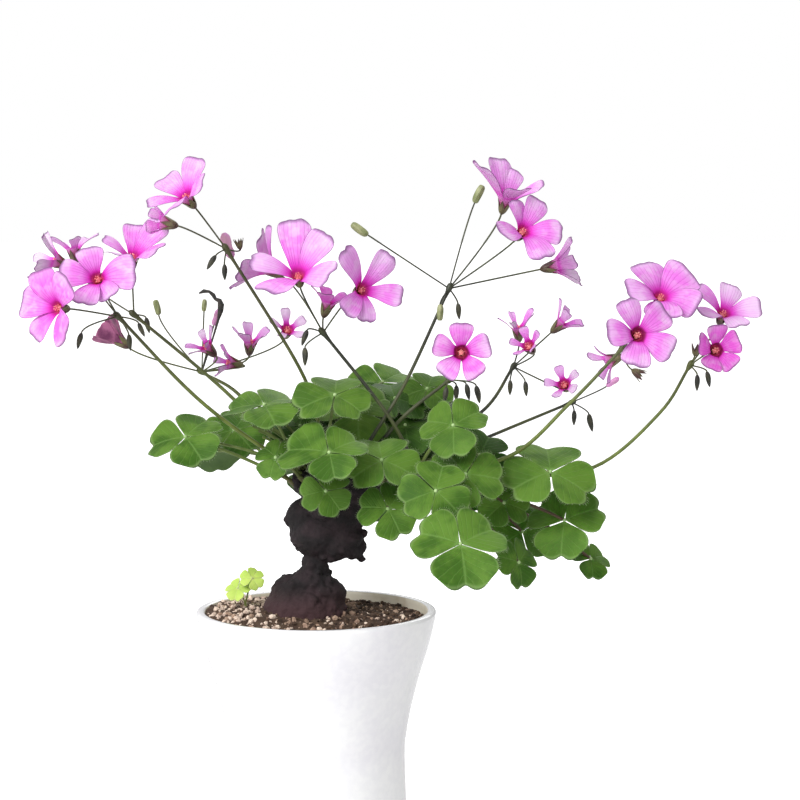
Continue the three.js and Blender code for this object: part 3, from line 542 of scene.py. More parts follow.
earth, tree, shader = newMaterial("pottingSoil", 0.95)
shades = [(place, soilSettings[name]) for name, place in soilSettings["tones"].items()]
crumbly = ramp(tree, attributeOf(tree, "tone"), shades)
painted(tree, shader, shaded(tree, crumbly, (0.58, 0.53, 0.53), 300.0))
bumped(tree, shader, noiseOf(tree, 1500.0, 5.0, 0.7), 0.4)

soil = joined([makeSoil()] + makeCrumbs(), "pottingSoil")
dress(soil, earth)
stand(soil, "potting_soil", "soil")
print("soil done")


# tuber: knobs run together, roughened, with the stumps of old leaf stalks
tuberSettings = {
    "knobs": [
        (-4, 0, 100.5, 14, 13, 9, 0), (-8.5, 1, 105, 7, 7.5, 7.5, -18), (3.5, -1, 105, 6.3, 7, 7, 20),
        (-1.5, 0, 110, 7.2, 7, 5.5, 0),
        (-0.5, 0, 115, 4.4, 4.6, 6, 0), (1, 0, 126, 10, 8.5, 7.5, 8), (8, -1, 124, 8, 7, 6, -22),
        (12.5, -2, 121.5, 3, 3, 3.6, 30), (-4.5, 1, 131, 5.5, 6, 7, -10), (8, 0, 133, 8.5, 8, 9, 12),
        (3, -5, 138, 6, 5, 7, 0), (-4, -1, 143, 4, 4.5, 5, -20), (6, 0, 142, 12, 10, 9, 0),
        (17, -1, 143, 9, 7, 6.5, -8), (27, 0, 145, 9.5, 8.5, 7, 0),
    ],
    "root": (-4, 0, 84, 96),
    "rootRadii": (9.5, 13.4),
    "lumps": 120,
    "lumpSizes": (0.9, 2.6),
    "lumpSunk": 0.45,
    "spurs": 46,
    "spurLengths": (1.8, 3.6),
    "spurFeet": (1.0, 1.7),
    "spurTips": (0.3, 0.8),
    "spurClimbs": (0, 0.9),
    "spurOut": 0.2,
    "voxel": 0.46,
    "rough": [("barkSwells", 5.5, 1.7), ("barkCracks", 1.7, 0.8)],
    "roughLevel": 0.52,
    "dampLevels": (0.111, 0.1),
    "black": (0.006, 0.0035, 0.0045),
    "plum": (0.021, 0.011, 0.014),
    "rust": (0.075, 0.032, 0.036),
    # pale flecks: dust, and painted highlight on the dark bark
    "ashAndHighlight": (0.085, 0.06, 0.06),
}


def onKnob(draw, knob):
    x, y, z, wide, deep, tall, tilt = knob
    way = Vector((draw.gauss(0, 1), draw.gauss(0, 1), draw.gauss(0, 0.8))).normalized()
    spot = Vector((way.x * wide, way.y * deep, way.z * tall))
    turned = Matrix.Rotation(math.radians(tilt), 3, "Y")
    return Vector((x, y, z)) + turned @ spot, turned @ way


def makeTuber():
    draw = random.Random(5)
    parts = []
    for x, y, z, wide, deep, tall, tilt in tuberSettings["knobs"]:
        bpy.ops.mesh.primitive_uv_sphere_add(segments=24, ring_count=16, radius=1, location=at((x, y, z)),
                                             rotation=(0, math.radians(tilt), 0),
                                             scale=(wide * mm, deep * mm, tall * mm))
        parts.append(justMade("knob"))
    x, y, bottom, top = tuberSettings["root"]
    bottomRadius, topRadius = tuberSettings["rootRadii"]
    bpy.ops.mesh.primitive_cone_add(vertices=24, radius1=bottomRadius * mm, radius2=topRadius * mm,
                                    depth=(top - bottom) * mm, location=at((x, y, (top + bottom) / 2)))
    parts.append(justMade("root"))
    for count in range(tuberSettings["lumps"]):
        spot, way = onKnob(draw, draw.choice(tuberSettings["knobs"]))
        size = draw.uniform(*tuberSettings["lumpSizes"])
        bpy.ops.mesh.primitive_ico_sphere_add(subdivisions=2, radius=size * mm,
                                              location=at(spot - way * size * tuberSettings["lumpSunk"]))
        parts.append(justMade("lump"))
    for count in range(tuberSettings["spurs"]):
        spot, way = onKnob(draw, draw.choice(tuberSettings["knobs"][1:]))
        way = (way + Vector((0, 0, draw.uniform(*tuberSettings["spurClimbs"])))).normalized()
        long = draw.uniform(*tuberSettings["spurLengths"])
        foot, tip = draw.uniform(*tuberSettings["spurFeet"]), draw.uniform(*tuberSettings["spurTips"])
        bpy.ops.mesh.primitive_cone_add(vertices=7, radius1=foot * mm, radius2=tip * mm, depth=long * mm,
                                        location=at(spot + way * long * tuberSettings["spurOut"]),
                                        rotation=way.to_track_quat("Z", "Y").to_euler())
        parts.append(justMade("spur"))
    piece = joined(parts, "woodyTuber")
    putAtOrigin(piece)
    remesh = piece.modifiers.new("oneSkin", "REMESH")
    remesh.mode = "VOXEL"
    remesh.voxel_size = tuberSettings["voxel"] * mm
    for name, size, strength in tuberSettings["rough"]:
        texture = bpy.data.textures.new(name, "CLOUDS")
        texture.noise_scale = size * mm
        texture.noise_depth = 3
        rough = piece.modifiers.new(name, "DISPLACE")
        rough.texture = texture
        rough.texture_coords = "LOCAL"
        rough.mid_level = tuberSettings["roughLevel"]
        rough.strength = strength * mm
    applyAll(piece)
    smooth(piece)
    return piece


bark, tree, shader = newMaterial("tuberBark", 0.85)
deep = placed(tree, mottle, First=tuberSettings["black"], Second=tuberSettings["plum"], Scale=170.0,
              Low=0.38, High=0.66)
nearSoil = ranged(tree, heightOf(tree), *tuberSettings["dampLevels"], 0.0, 0.75)
body = mixed(tree, nearSoil, deep["Color"], tuberSettings["rust"])
# pale flecks over the bark, partly dust and partly painted highlight
dustAndHighlight = ranged(tree, noiseOf(tree, 640.0, 5.0, 0.7), 0.6, 0.78, 0.0, 0.45)
painted(tree, shader, mixed(tree, dustAndHighlight, body, tuberSettings["ashAndHighlight"]))
bumped(tree, shader, noiseOf(tree, 900.0, 6.0, 0.75), 0.5)

tuber = makeTuber()
tuber.data.materials.clear()
dress(tuber, bark)
stand(tuber, "bark", "tuber")
print("tuber done:", len(tuber.data.polygons), "faces")


# leaves: three heart-shaped leaflets on a stalk, mostly two leaves from one foot
leafSettings = {
    "rows": 12,
    "columns": 12,
    "halfWidths": [(0, 0.03), (0.12, 0.21), (0.25, 0.42), (0.4, 0.6), (0.55, 0.69), (0.7, 0.72),
                   (0.82, 0.7), (0.92, 0.63), (1, 0.52)],
    "reaches": [(0, 0.85), (0.05, 0.87), (0.2, 0.95), (0.42, 1.0), (0.62, 0.985), (0.82, 0.92),
                (1, 0.8)],
    "fold": 0.17,
    "ribRound": 0.07,
    "droop": 0.24,
    "ripple": (0.022, 3.3),  # height of the waves and how close they are
    "pucker": (0.016, 9),
    "spread": {"size": (0.97, 1.02), "turn": (-0.06, 0.06), "tone": (-0.12, 0.12)},
    "gap": 0.03,
    "thickness": 0.3,
    "stub": 5.5,
    "fork": 0.85,
    "footRadius": 0.85,
    "tipRadius": 0.5,
    "forkSwell": 1.15,
    "hubRadius": 0.62,
    "rimHairs": 46,
    "hairRoot": 0.004,
    "hairLength": 0.06,
    "hairRun": 0.8,
    "hairStray": (-0.4, 0.4),
    "hairRise": (-0.5, 0.5),
    "hair": (0.55, 0.66, 0.4),
    "green": (0.043, 0.108, 0.012),
    "light": (0.1, 0.2, 0.026),
    "vein": (0.17, 0.3, 0.075),
    "edge": (0.3, 0.42, 0.17),
    # a thin dark outline at the leaflet edge, painted shade
    "outline": (0.018, 0.045, 0.008),
    "under": (0.08, 0.16, 0.03),
    "underDark": (0.055, 0.12, 0.02),
    # darker copies of the leaf colours: painted shade for the small leaves inside the crown
    "shadedGreen": (0.02, 0.06, 0.006),
    "shadedLight": (0.05, 0.12, 0.014),
    "shadedVein": (0.09, 0.18, 0.04),
    "shadedEdge": (0.15, 0.26, 0.08),
    "hub": (0.42, 0.58, 0.26),
    "hubDark": (0.3, 0.47, 0.17),
    "stalk": {"low": (0.1, 0.06, 0.03), "high": (0.16, 0.22, 0.05), "levels": (0.138, 0.153),
              "roughness": 0.55, "streak": (0.7, 0.75, 0.6), "streaks": 260.0, "grain": 1200.0,
              "bump": 0.1},
}

# foot of each pair and how steeply it climbs; then each leaf: centre, lean and turn of its face,
# heading, length, rise of its stalk, and the sizes of its leaflets where they differ
leafPairs = [
    ((-5.5, -2.5, 141.5), 0.9, ((-42, -13, 160), 37, -12, 190, 12.5, 1),
     ((-28, 11, 160), 36, -12, 195, 12, 1)),
    ((-2.5, -6.5, 143.5), 0.9, ((-16.2, -14, 170.6), 20, -10, 177, 13.4, 3),
     ((-12.5, -15, 153.5), 55, -15, 263, 7.4, 1)),
    ((2, -8, 143.5), 0.9, ((6.8, -16.8, 174), 34, 4, 82, 12.4, 2, (0.95, 1.08, 0.95)),
     ((5.5, -33, 157), 38, -5, 165, 14.5, 5, (1.12, 0.74, 0.84))),
    ((8, -8.8, 142), 0.9, ((4, -22, 143.4), 62, -5, 190, 8.8, 1),
     ((22, -23, 153.5), 36, 5, 210, 13, 3)),
    ((6, 3, 148.5), 0.9, ((13.6, 0.5, 167.2), 45, 0, 154, 13.5, 2), ((22, 27, 175), 30, 5, 50, 13, 5)),
    ((31, -7, 145), 0.9, ((45, -21, 164.5), 51, -18, 163, 11.2, 2),
     ((49, -24, 149), 52, 8, 357, 12.5, 2)),
    ((22, -6.5, 144.5), 0.9, ((39.2, -35, 145), 56, 3, 198, 11.5, -2.5),
     ((24, -25, 138), 58, -3, 175, 10, 1)),
    ((27, -7.5, 143), 0.9, ((46.6, -50.5, 130.4), 45, 5, 152, 15, -4)),
    ((36, -2.5, 143), 0.4, ((77, -12.2, 148.5), 38, 8, 205, 15.3, 1),
     ((62, -10, 138), 55, 10, 100, 9, 2)),
    ((37, -0.5, 140.5), 0.1, ((82, -8, 132), 55, -20, 30, 13, 3), ((67, -8, 118), 70, 40, 275, 8.5, 3)),
    ((32.6, 4.6, 142), 0.3, ((92, 6, 117), 45, 30, 15, 7.5, 5), ((69, 7, 126), 50, 15, 90, 11, 5)),
    ((-1.5, 7, 143), 0.9, ((-35, 30, 151), 30, 200, 20, 12, 2), ((-14, 38, 162), 35, 190, 70, 12, 6)),
    ((4, 8, 144), 0.9, ((-3, 38, 144), 45, 190, 30, 12, 6), ((4, 28, 165), 30, 180, 90, 10.5, 4)),
    ((12, 7, 144), 0.9, ((22, 42, 155), 35, 170, 60, 13, 7), ((19, 26, 136), 55, 175, 40, 10, 4)),
    ((22, 7, 144.5), 0.9, ((44, 35, 143), 40, 160, 20, 12, 6), ((37, 10, 174), 40, 0, 75, 9, 1)),
    ((28, 7.5, 142.5), 0.4, ((66, 20, 134), 35, 140, 10, 11, 6)),
]

# small leaves inside the crown, coloured darker as painted shade, and bare leaf stalks that show at its
# left
innerPairs = [
    ((14, 1, 147), 0.9, ((29.6, 0, 162.7), 42, 10, 30, 11.5, 2),
     ((18.6, 5, 160), 50, -10, 70, 10.5, 2)),
    ((18, 4, 147), 0.9, ((26.2, 8, 171), 32, 0, 100, 12, 3), ((36.3, 10, 168.5), 35, 10, 40, 11, 3)),
    ((4, 0, 147), 0.9, ((11.5, -1, 155), 50, 0, 80, 10, 1), ((-5.4, 5, 162), 35, -10, 20, 12, 2)),
    ((30, 0, 146), 0.9, ((54.3, 0, 152.7), 50, 10, 60, 11, 2), ((61.2, 5, 144), 50, 10, 20, 10.5, 2)),
    ((24, 0, 146), 0.9, ((22.9, -2, 152.5), 55, 0, 30, 9.5, 1), ((41, 0, 149.5), 50, 5, 95, 10.5, 1)),
    ((8, 4, 147), 0.9, ((4.4, 12, 170), 25, 0, 45, 12, 3), ((13, 12, 171), 30, 0, 15, 11, 3)),
    ((2, 5, 145), 0.9, ((-3, 15, 157), 55, 0, 60, 13, 2), ((11, 17, 157), 60, 5, 20, 13, 2)),
    ((18, 6, 145), 0.9, ((25, 17, 158), 60, 0, 80, 13, 2), ((40, 15, 160), 55, 5, 100, 13, 2)),
    ((28, 6, 144), 0.9, ((33, 16, 145), 65, 0, 35, 12, -1), ((52, 14, 145), 60, 5, 0, 13, 1)),
]
stalkFan = [
    ((-3, -1, 147), (-7, -5, 161), (-24.3, -8, 168)), ((-3, 0, 147), (-6, -3, 159), (-22.7, -4, 165.4)),
    ((-4, -1, 146), (-7, -5, 157.5), (-20.4, -9, 163.2)), ((-4, 1, 146), (-6, 0, 156), (-19, 0, 160.7)),
    ((-4, 0, 145), (-6, -3, 154.5), (-17.4, -5, 159.2)), ((-2, 2, 147), (-5, 3, 163), (-21.1, 2, 169.5)),
    ((-4, -1, 144), (-8, -4, 152.5), (-36, -6, 158)),
]
bareStalk = (0.6, 0.42)  # its radius at the foot and at the end


def leafPlace(leaf):
    lean, yaw, heading = (math.radians(turn) for turn in leaf[1:4])
    normal = Vector((math.sin(yaw) * math.sin(lean), -math.cos(yaw) * math.sin(lean), math.cos(lean)))
    level = Matrix.Rotation(heading, 3, normal) @ Vector((math.cos(yaw), math.sin(yaw), 0))
    place = Matrix((level, normal.cross(level), normal)).transposed().to_4x4()
    return Matrix.Translation(leaf[0]) @ place


def leafletSpot(share, side, wave):
    across, ribRound = abs(side), leafSettings["ribRound"]
    (ripple, rippleTurns), (pucker, puckerTurns) = leafSettings["ripple"], leafSettings["pucker"]
    notch = leafSettings["reaches"][0][1]
    along = share * (notch + (between(leafSettings["reaches"], across) - notch) * share ** 2)
    aside = side * between(leafSettings["halfWidths"], share)
    rise = leafSettings["fold"] * (math.hypot(aside, ribRound) - ribRound)
    rise -= leafSettings["droop"] * along ** 2
    rise += ripple * share * math.sin(side * rippleTurns + wave)
    rise += pucker * across ** 2 * math.sin(share * puckerTurns + wave * 2)
    return Vector((along + leafSettings["gap"], aside, rise))


def makeLeaf(leaf, draw):
    sizes = leaf[6] if len(leaf) > 6 else (1, 1, 1)
    place, spread = leafPlace(leaf), leafSettings["spread"]
    blades, rims = [], []
    tone = draw.random()
    for turn in range(3):
        wave = draw.uniform(0, math.tau)
        size = leaf[4] * sizes[turn] * draw.uniform(*spread["size"])
        turned = place @ Matrix.Rotation(math.tau * turn / 3 + draw.uniform(*spread["turn"]), 4, "Z")
        for template, parts in ((leafSheet, blades), (leafFringe, rims)):
            piece = copyOf(template)
            for vertex in piece.data.vertices:
                spot = leafletSpot(vertex.co.x + 0.5, vertex.co.y * 2, wave)
                spot.z += vertex.co.z
                vertex.co = (turned @ (spot * size)) * mm
            setTone(piece, clamped(tone + draw.uniform(*spread["tone"])))
            parts.append(piece)
    return blades, rims


def makeFringe():  # fine hairs round a leaflet, set out on the flat sheet
    draw = random.Random(8)
    hairs = []
    count, run = leafSettings["rimHairs"], leafSettings["hairRun"]
    for number in range(count):
        share = (number + 0.5) / count * 3  # up one side, across the end and up the other
        if share < 1:
            root, way = Vector((0.5 - share * run, -0.5, 0)), Vector((0.1, -1, 0))
        elif share < 2:
            root, way = Vector((0.5, share - 1.5, 0)), Vector((1, 0, 0))
        else:
            root, way = Vector((0.5 - (share - 2) * run, 0.5, 0)), Vector((0.1, 1, 0))
        stray = Vector([draw.uniform(*leafSettings[name])
                        for name in ("hairStray", "hairStray", "hairRise")])
        way = (way + stray).normalized()
        long = leafSettings["hairLength"] * draw.uniform(0.7, 1.2)
        bpy.ops.mesh.primitive_cone_add(vertices=3, radius1=leafSettings["hairRoot"], radius2=0,
                                        depth=long, location=root + way * long * 0.4,
                                        rotation=way.to_track_quat("Z", "Y").to_euler())
        hairs.append(justMade("hair"))
    fringe = joined(hairs, "leafFringe")
    putAtOrigin(fringe)
    return fringe


def stubWay(foot, climb, leaves):
    way = Vector((0, 0, 0))
    for leaf in leaves:
        away = Vector(leaf[0]) - foot
        away.z = 0
        way += away.normalized()
    way.normalize()
    way.z = climb
    return way.normalized()


def stalkRun(start, leaf, footRadius, tipRadius):
    place = leafPlace(leaf)
    end = place.translation - place.col[2].to_3d() * leafSettings["thickness"] * 0.5
    middle = (start + end) / 2 + Vector((0, 0, leaf[5]))
    return tapered(start, middle * 2 - (start + end) / 2, end, footRadius, tipRadius, 14)


def thickened(piece, thickness):  # a second side with its own material, then one rounding
    thick = piece.modifiers.new("thickness", "SOLIDIFY")
    thick.thickness = thickness * mm
    thick.offset = -1
    thick.material_offset = 1
    rounding = piece.modifiers.new("rounding", "SUBSURF")
    rounding.levels = rounding.render_levels = 1
    applyAll(piece)


def makeLeafPair(name, pair, materials, draw, thin=1.0):
    face, back, stalk, middle = materials
    foot, climb, *leaves = pair
    foot = Vector(foot)
    footRadius, tipRadius = leafSettings["footRadius"] * thin, leafSettings["tipRadius"] * thin
    fork = foot + stubWay(foot, climb, leaves) * leafSettings["stub"] * leafSettings["fork"]
    sheets, fringes = [], []
    runs = [[(foot, footRadius), (fork, footRadius)]]
    for leaf in leaves:
        blades, rims = makeLeaf(leaf, draw)
        sheets += blades
        fringes += rims
        runs.append(stalkRun(fork, leaf, tipRadius * leafSettings["forkSwell"], tipRadius))
    fringe = joined(fringes, "fringe")
    dress(fringe, leafHair)
    blades = joined(sheets, "blades")
    dress(blades, face, back)
    thickened(blades, leafSettings["thickness"])
    stalks = tubes("stalks", runs)
    dress(stalks, stalk, tone=0.5)
    hubs = []
    for leaf in leaves:
        bpy.ops.mesh.primitive_uv_sphere_add(segments=10, ring_count=8, location=at(leaf[0]),
                                             radius=leafSettings["hubRadius"] * thin * mm)
        hub = justMade("hub")
        putAtOrigin(hub)
        dress(hub, middle, tone=0.5)
        hubs.append(hub)
    piece = joined([blades, stalks, fringe] + hubs, name)
    smooth(piece)
    return piece


def leafMaterial(name, green, light, vein, edge):
    material, tree, shader = newMaterial(name, 0.55, Subsurface_Weight=0.1, Subsurface_Scale=0.002,
                                         Specular_IOR_Level=0.12)
    shader.inputs["Subsurface Radius"].default_value = (0.4, 1.0, 0.2)
    soft = placed(tree, mottle, First=green, Second=light, Scale=120.0, Low=0.38, High=0.62)
    fresh = mixed(tree, times(tree, attributeOf(tree, "tone"), 0.5), soft["Color"], light)
    along, aside = uvOf(tree)
    side = placed(tree, lines, Along=1.0, Aside=-0.6, Count=5.0, Width=0.26, Waver=0.4)["Mask"]
    rib = ranged(tree, offMiddle(tree, aside), 0.0, 0.07, 1.0, 0.0)
    heart = ranged(tree, along, 0.02, 0.16, 0.85, 0.0)
    coloured = mixed(tree, times(tree, side, 0.16), fresh, vein)
    coloured = mixed(tree, times(tree, rib, 0.4), coloured, vein)
    coloured = mixed(tree, heart, coloured, vein)
    # a pale rim, then a thin dark outline of painted shade at the very edge
    for width, strength, colour in ((0.1, 0.55, edge), (0.05, 0.85, leafSettings["outline"])):
        border = placed(tree, rim, Width=width)["Mask"]
        coloured = mixed(tree, times(tree, border, strength), coloured, colour)
    painted(tree, shader, coloured)
    ridges = math2(tree, "ADD", times(tree, rib, -1.0), times(tree, side, -0.6))
    height = math2(tree, "MULTIPLY_ADD", noiseOf(tree, 900.0, 2.0), 0.5, ridges)
    bumped(tree, shader, height, 0.18, 0.7)
    return material


def plainMaterial(name, first, second, scale, roughness, bump):
    material, tree, shader = newMaterial(name, roughness)
    painted(tree, shader, placed(tree, mottle, First=first, Second=second, Scale=scale)["Color"])
    bumped(tree, shader, noiseOf(tree, scale * 4), bump, 0.6)
    return material


def stalkMaterial(name, paint):
    material, tree, shader = newMaterial(name, paint["roughness"])
    climbed = ranged(tree, heightOf(tree), *paint["levels"])
    body = mixed(tree, climbed, paint["low"], paint["high"])
    painted(tree, shader, shaded(tree, body, paint["streak"], paint["streaks"]))
    bumped(tree, shader, noiseOf(tree, paint["grain"]), paint["bump"], 0.6)
    return material


def leafPaint(*names):
    return [leafSettings[name] for name in names]


leafFace = leafMaterial("leafFace", *leafPaint("green", "light", "vein", "edge"))
leafBack = plainMaterial("leafBack", *leafPaint("under", "underDark"), 160.0, 0.65, 0.15)
# the small leaves inside the crown take the darker copies, as painted shade
innerShadedFace = leafMaterial("innerShadedFace", *leafPaint("shadedGreen", "shadedLight", "shadedVein", "shadedEdge"))
innerShadedBack = plainMaterial("innerShadedBack", *leafPaint("shadedLight", "shadedGreen"), 160.0, 0.65, 0.15)
leafHair = newMaterial("leafHair", 0.6, leafSettings["hair"], Alpha=0.75)[0]
leafStalk = stalkMaterial("leafStalk", leafSettings["stalk"])
leafHub = plainMaterial("leafHub", *leafPaint("hub", "hubDark"), 300.0, 0.5, 0.1)

bpy.ops.mesh.primitive_grid_add(size=1, x_subdivisions=leafSettings["rows"],
                                y_subdivisions=leafSettings["columns"])
leafSheet = justMade("leafSheet")
leafFringe = makeFringe()
leafDraw = random.Random(21)
outerLook = (leafFace, leafBack, leafStalk, leafHub)
innerShadedLook = (innerShadedFace, innerShadedBack, leafStalk, leafHub)
for count, pair in enumerate(leafPairs, 1):
    leaves = makeLeafPair(f"leafPair{count:02d}", pair, outerLook, leafDraw)
    stand(leaves, "leaf", f"leaf_pair_{count:02d}")
for count, pair in enumerate(innerPairs, 1):
    leaves = makeLeafPair(f"innerLeaves{count}", pair, innerShadedLook, leafDraw)
    stand(leaves, "leaf")
fan = tubes("stalkFan", [tapered(*(Vector(stop) for stop in run), *bareStalk, 12) for run in stalkFan])
dress(fan, leafStalk, tone=0.5)
smooth(fan)
stand(fan, "leaf")
print("leaves done")


# seedling: a young yellow-green one beside the tuber, set out as a pair of leaves is
seedlingSettings = {
    "pair": ((-24, 6, 97.5), 3, ((-26.5, 3, 107.5), 45, -20, 150, 4.6, 0.5),
             ((-21.5, 2, 111), 55, 10, 60, 4.2, 0.5)),
    "thin": 0.55,
    "face": [(0.42, 0.62, 0.1), (0.56, 0.74, 0.16), (0.7, 0.82, 0.34), (0.75, 0.85, 0.45)],
    "back": [(0.46, 0.6, 0.2), (0.4, 0.55, 0.16)],
    "stalk": [(0.5, 0.6, 0.22), (0.42, 0.5, 0.16)],
}
sproutFace = leafMaterial("sproutFace", *seedlingSettings["face"])
sproutBack = plainMaterial("sproutBack", *seedlingSettings["back"], 300.0, 0.65, 0.1)
sproutStalk = plainMaterial("sproutStalk", *seedlingSettings["stalk"], 300.0, 0.5, 0.1)
sprout = makeLeafPair("youngSeedling", seedlingSettings["pair"],
                      (sproutFace, sproutBack, sproutStalk, sproutStalk), leafDraw,
                      seedlingSettings["thin"])
stand(sprout, "sprout", "seedling")
print("seedling done")


# flower stalks: points from the foot in the tuber to the hub
stalkSettings = {
    "footRadius": 0.72,
    "tipRadius": 0.52,
    "pedicelRadius": 0.28,
    "budStalkRadius": 0.252,
    "pedicelBend": 0.2,
    "pedicelSwell": 1.05,
    "calyxFoot": -0.4,
    "budSpin": 9,
    "halfHub": 1.2,
    "hub": [(-1, 0.8), (-0.3, 1.05), (0.6, 1.15), (1.2, 0.95), (1.7, 0.35)],
    "steps": 9,
    "scape": {"low": (0.15, 0.2, 0.03), "high": (0.06, 0.064, 0.02), "levels": (0.15, 0.205),
              "roughness": 0.5, "streak": (0.62, 0.66, 0.5), "streaks": 210.0, "grain": 1300.0,
              "bump": 0.12},
    "darkScape": [(0.022, 0.027, 0.014), (0.066, 0.08, 0.024)],
    "dry": [(0.02, 0.022, 0.02), (0.06, 0.05, 0.04)],
}
umbels = [
    [(-3, -3, 145.5), (-36, -8, 170), (-64, -9, 199)],
    [(-3, 3, 145.5), (-30, 6, 173), (-61, 8, 199)],
    [(3, -2, 148), (1, -3, 163), (-5, -7, 182), (-28, -16, 221)],
    [(34.5, -5, 146), (24, -13, 167), (3, -14, 194)],
    [(11, -5, 147), (19, -10.5, 160), (30, -9, 178), (44, -4, 208)],
    [(14, 0, 146.5), (28, -7, 165), (44, -6, 178)],
    [(27, 4, 149), (56, 33, 164), (68, 48, 179)],
    [(31, 5, 147), (59, 30, 156), (89, 52, 166)],
    [(33, -2, 147.5), (63, -10, 153), (83, -14, 171), (100, -14, 189)],
    [(35, 3, 146.5), (64, 5, 145), (93, 6, 148), (115, 8, 166), (125, 8, 182)],
    [(-5, 4, 143.5), (-26, 28, 169), (-41, 35, 178)],
]
darkUmbels = (3, 4, 5, 6, 7)

# blooms: umbel, eye, way it faces, spin about it, reach of the petals, opening, width, depth of colour
blooms = [
    (0, (-80.5, -29, 202.5), (-0.64, -0.77, 0.08), 32, 13, 65, 1.1, 0.6),
    (0, (-69, -20, 211.5), (-0.06, -0.89, 0.45), 28, 11.5, 72, 1.2, 0.5),
    (0, (-84.8, -4, 217), (-0.85, -0.2, 0.35), 43, 9, 44, 0.5, 0),
    (1, (-60.2, -2, 218.3), (0.06, -0.5, 0.86), 24, 11.8, 52, 0.85, 0.3),
    (1, (-82, 16, 220.5), (-0.1, 0, 1), 13, 9, 58, 0.6, 0.3),
    (10, (-69, 26, 190), (-0.75, 0, 0.6), 70, 5, 24, 1, 1),
    (2, (-40, -24, 237.5), (-0.53, -0.52, 0.67), 12, 11.7, 60, 1, 0.45),
    (2, (-49, -8, 229.5), (-0.9, 0.25, 0.2), 41, 4.5, 30, 1, 0.6),
    (3, (-4.3, -30, 212.6), (-0.1, -0.72, 0.69), 36, 15.8, 58, 0.78, 0.36),
    (3, (-15, 0, 214.3), (-0.86, 0.06, 0.51), 46, 12.9, 54, 0.75, 0.55),
    (3, (15.8, -27, 208.2), (0.5, -0.83, 0.22), 55, 13.6, 64, 0.74, 0.42),
    (3, (4.5, -12, 203.5), (0.3, -0.15, 0.94), 54, 7, 50, 1, 0.95),
    (4, (62.2, -8, 236.9), (0.25, -0.32, 0.91), 9, 11.7, 46, 0.8, 0.45),
    (4, (67.3, -18, 226.7), (0.4, -0.75, 0.52), 48, 11.6, 63, 0.95, 0.5),
    (4, (79.1, 0, 215.2), (0.98, -0.02, 0.2), 31, 8.8, 43, 0.6, 0.15),
    (5, (47.5, -22, 188), (0, -0.99, 0.11), 17, 9.5, 70, 1.15, 0.62),
    (6, (69.5, 47, 192.5), (-0.1, -0.2, 0.96), 53, 7, 44, 0.42, 0.28),
    (6, (72.5, 37, 187), (-0.45, -0.7, 0.55), 38, 6, 46, 0.75, 0.38),
    (6, (85.5, 56, 194), (0.7, -0.1, 0.65), 23, 7, 42, 0.7, 0.3),
    (6, (85, 36, 173.5), (-0.32, -0.83, 0.46), 40, 6.6, 57, 0.75, 0.12),
    (8, (103, -30, 194), (0.29, -0.91, 0.29), 36, 11.8, 72, 1.12, 0.56),
    (8, (112, -16, 205.5), (0.17, -0.7, 0.69), 37, 12.8, 70, 1.35, 0.5),
    (8, (97, -2, 184), (-0.75, 0.3, -0.35), 36, 7, 50, 0.7, 0.35),
    (9, (135, 2, 199.5), (0.2, -0.63, 0.75), 59, 11.8, 65, 0.92, 0.36),
    (9, (130.7, -11, 188.1), (0.3, -0.93, 0.21), 20, 7.9, 63, 1.36, 0.92),
    (10, (-38.5, 26, 187.2), (-0.6, -0.4, 0.65), 64, 6.5, 46, 0.6, 0.22),
    (10, (-24.5, 40, 188), (0.1, -0.3, 0.95), 50, 7, 44, 0.7, 0.28),
    (10, (-31, 30, 181.5), (-0.9, -0.3, 0.2), 35, 6, 42, 0.55, 0.2),
    (10, (-12, 50, 192), (0.2, -0.7, 0.6), 20, 7, 56, 0.7, 0.04),
]

# uneven blooms: turn of each petal from its even place in degrees, and its length against the others
unevenBlooms = {
    0: ((10, 5, -5, -10, 0), (1, 1, 1, 0.9, 1.1)),
    1: ((-20, 10, 5, 10, -10), (1.2, 0.9, 1.1, 1, 0.8)),
    3: ((15, -15, -10, 0, 5), (1.1, 0.9, 0.8, 1, 1.1)),
    8: ((15, -10, -5, -5, 5), (0.9, 1, 0.9, 1.1, 1)),
    10: ((-5, 0, 20, -10, 0), (1, 1.1, 1, 0.8, 0.9)),
    12: ((0, -5, 20, -20, -5), (1, 0.9, 0.9, 1, 1.2)),
    13: ((5, -20, 5, 15, 10), (1, 0.8, 1.1, 1.2, 1.1)),
}
ringedBlooms = (15, 20, 24)  # with a dark ring round the eye
wiltedBloom = 5  # closed and faded

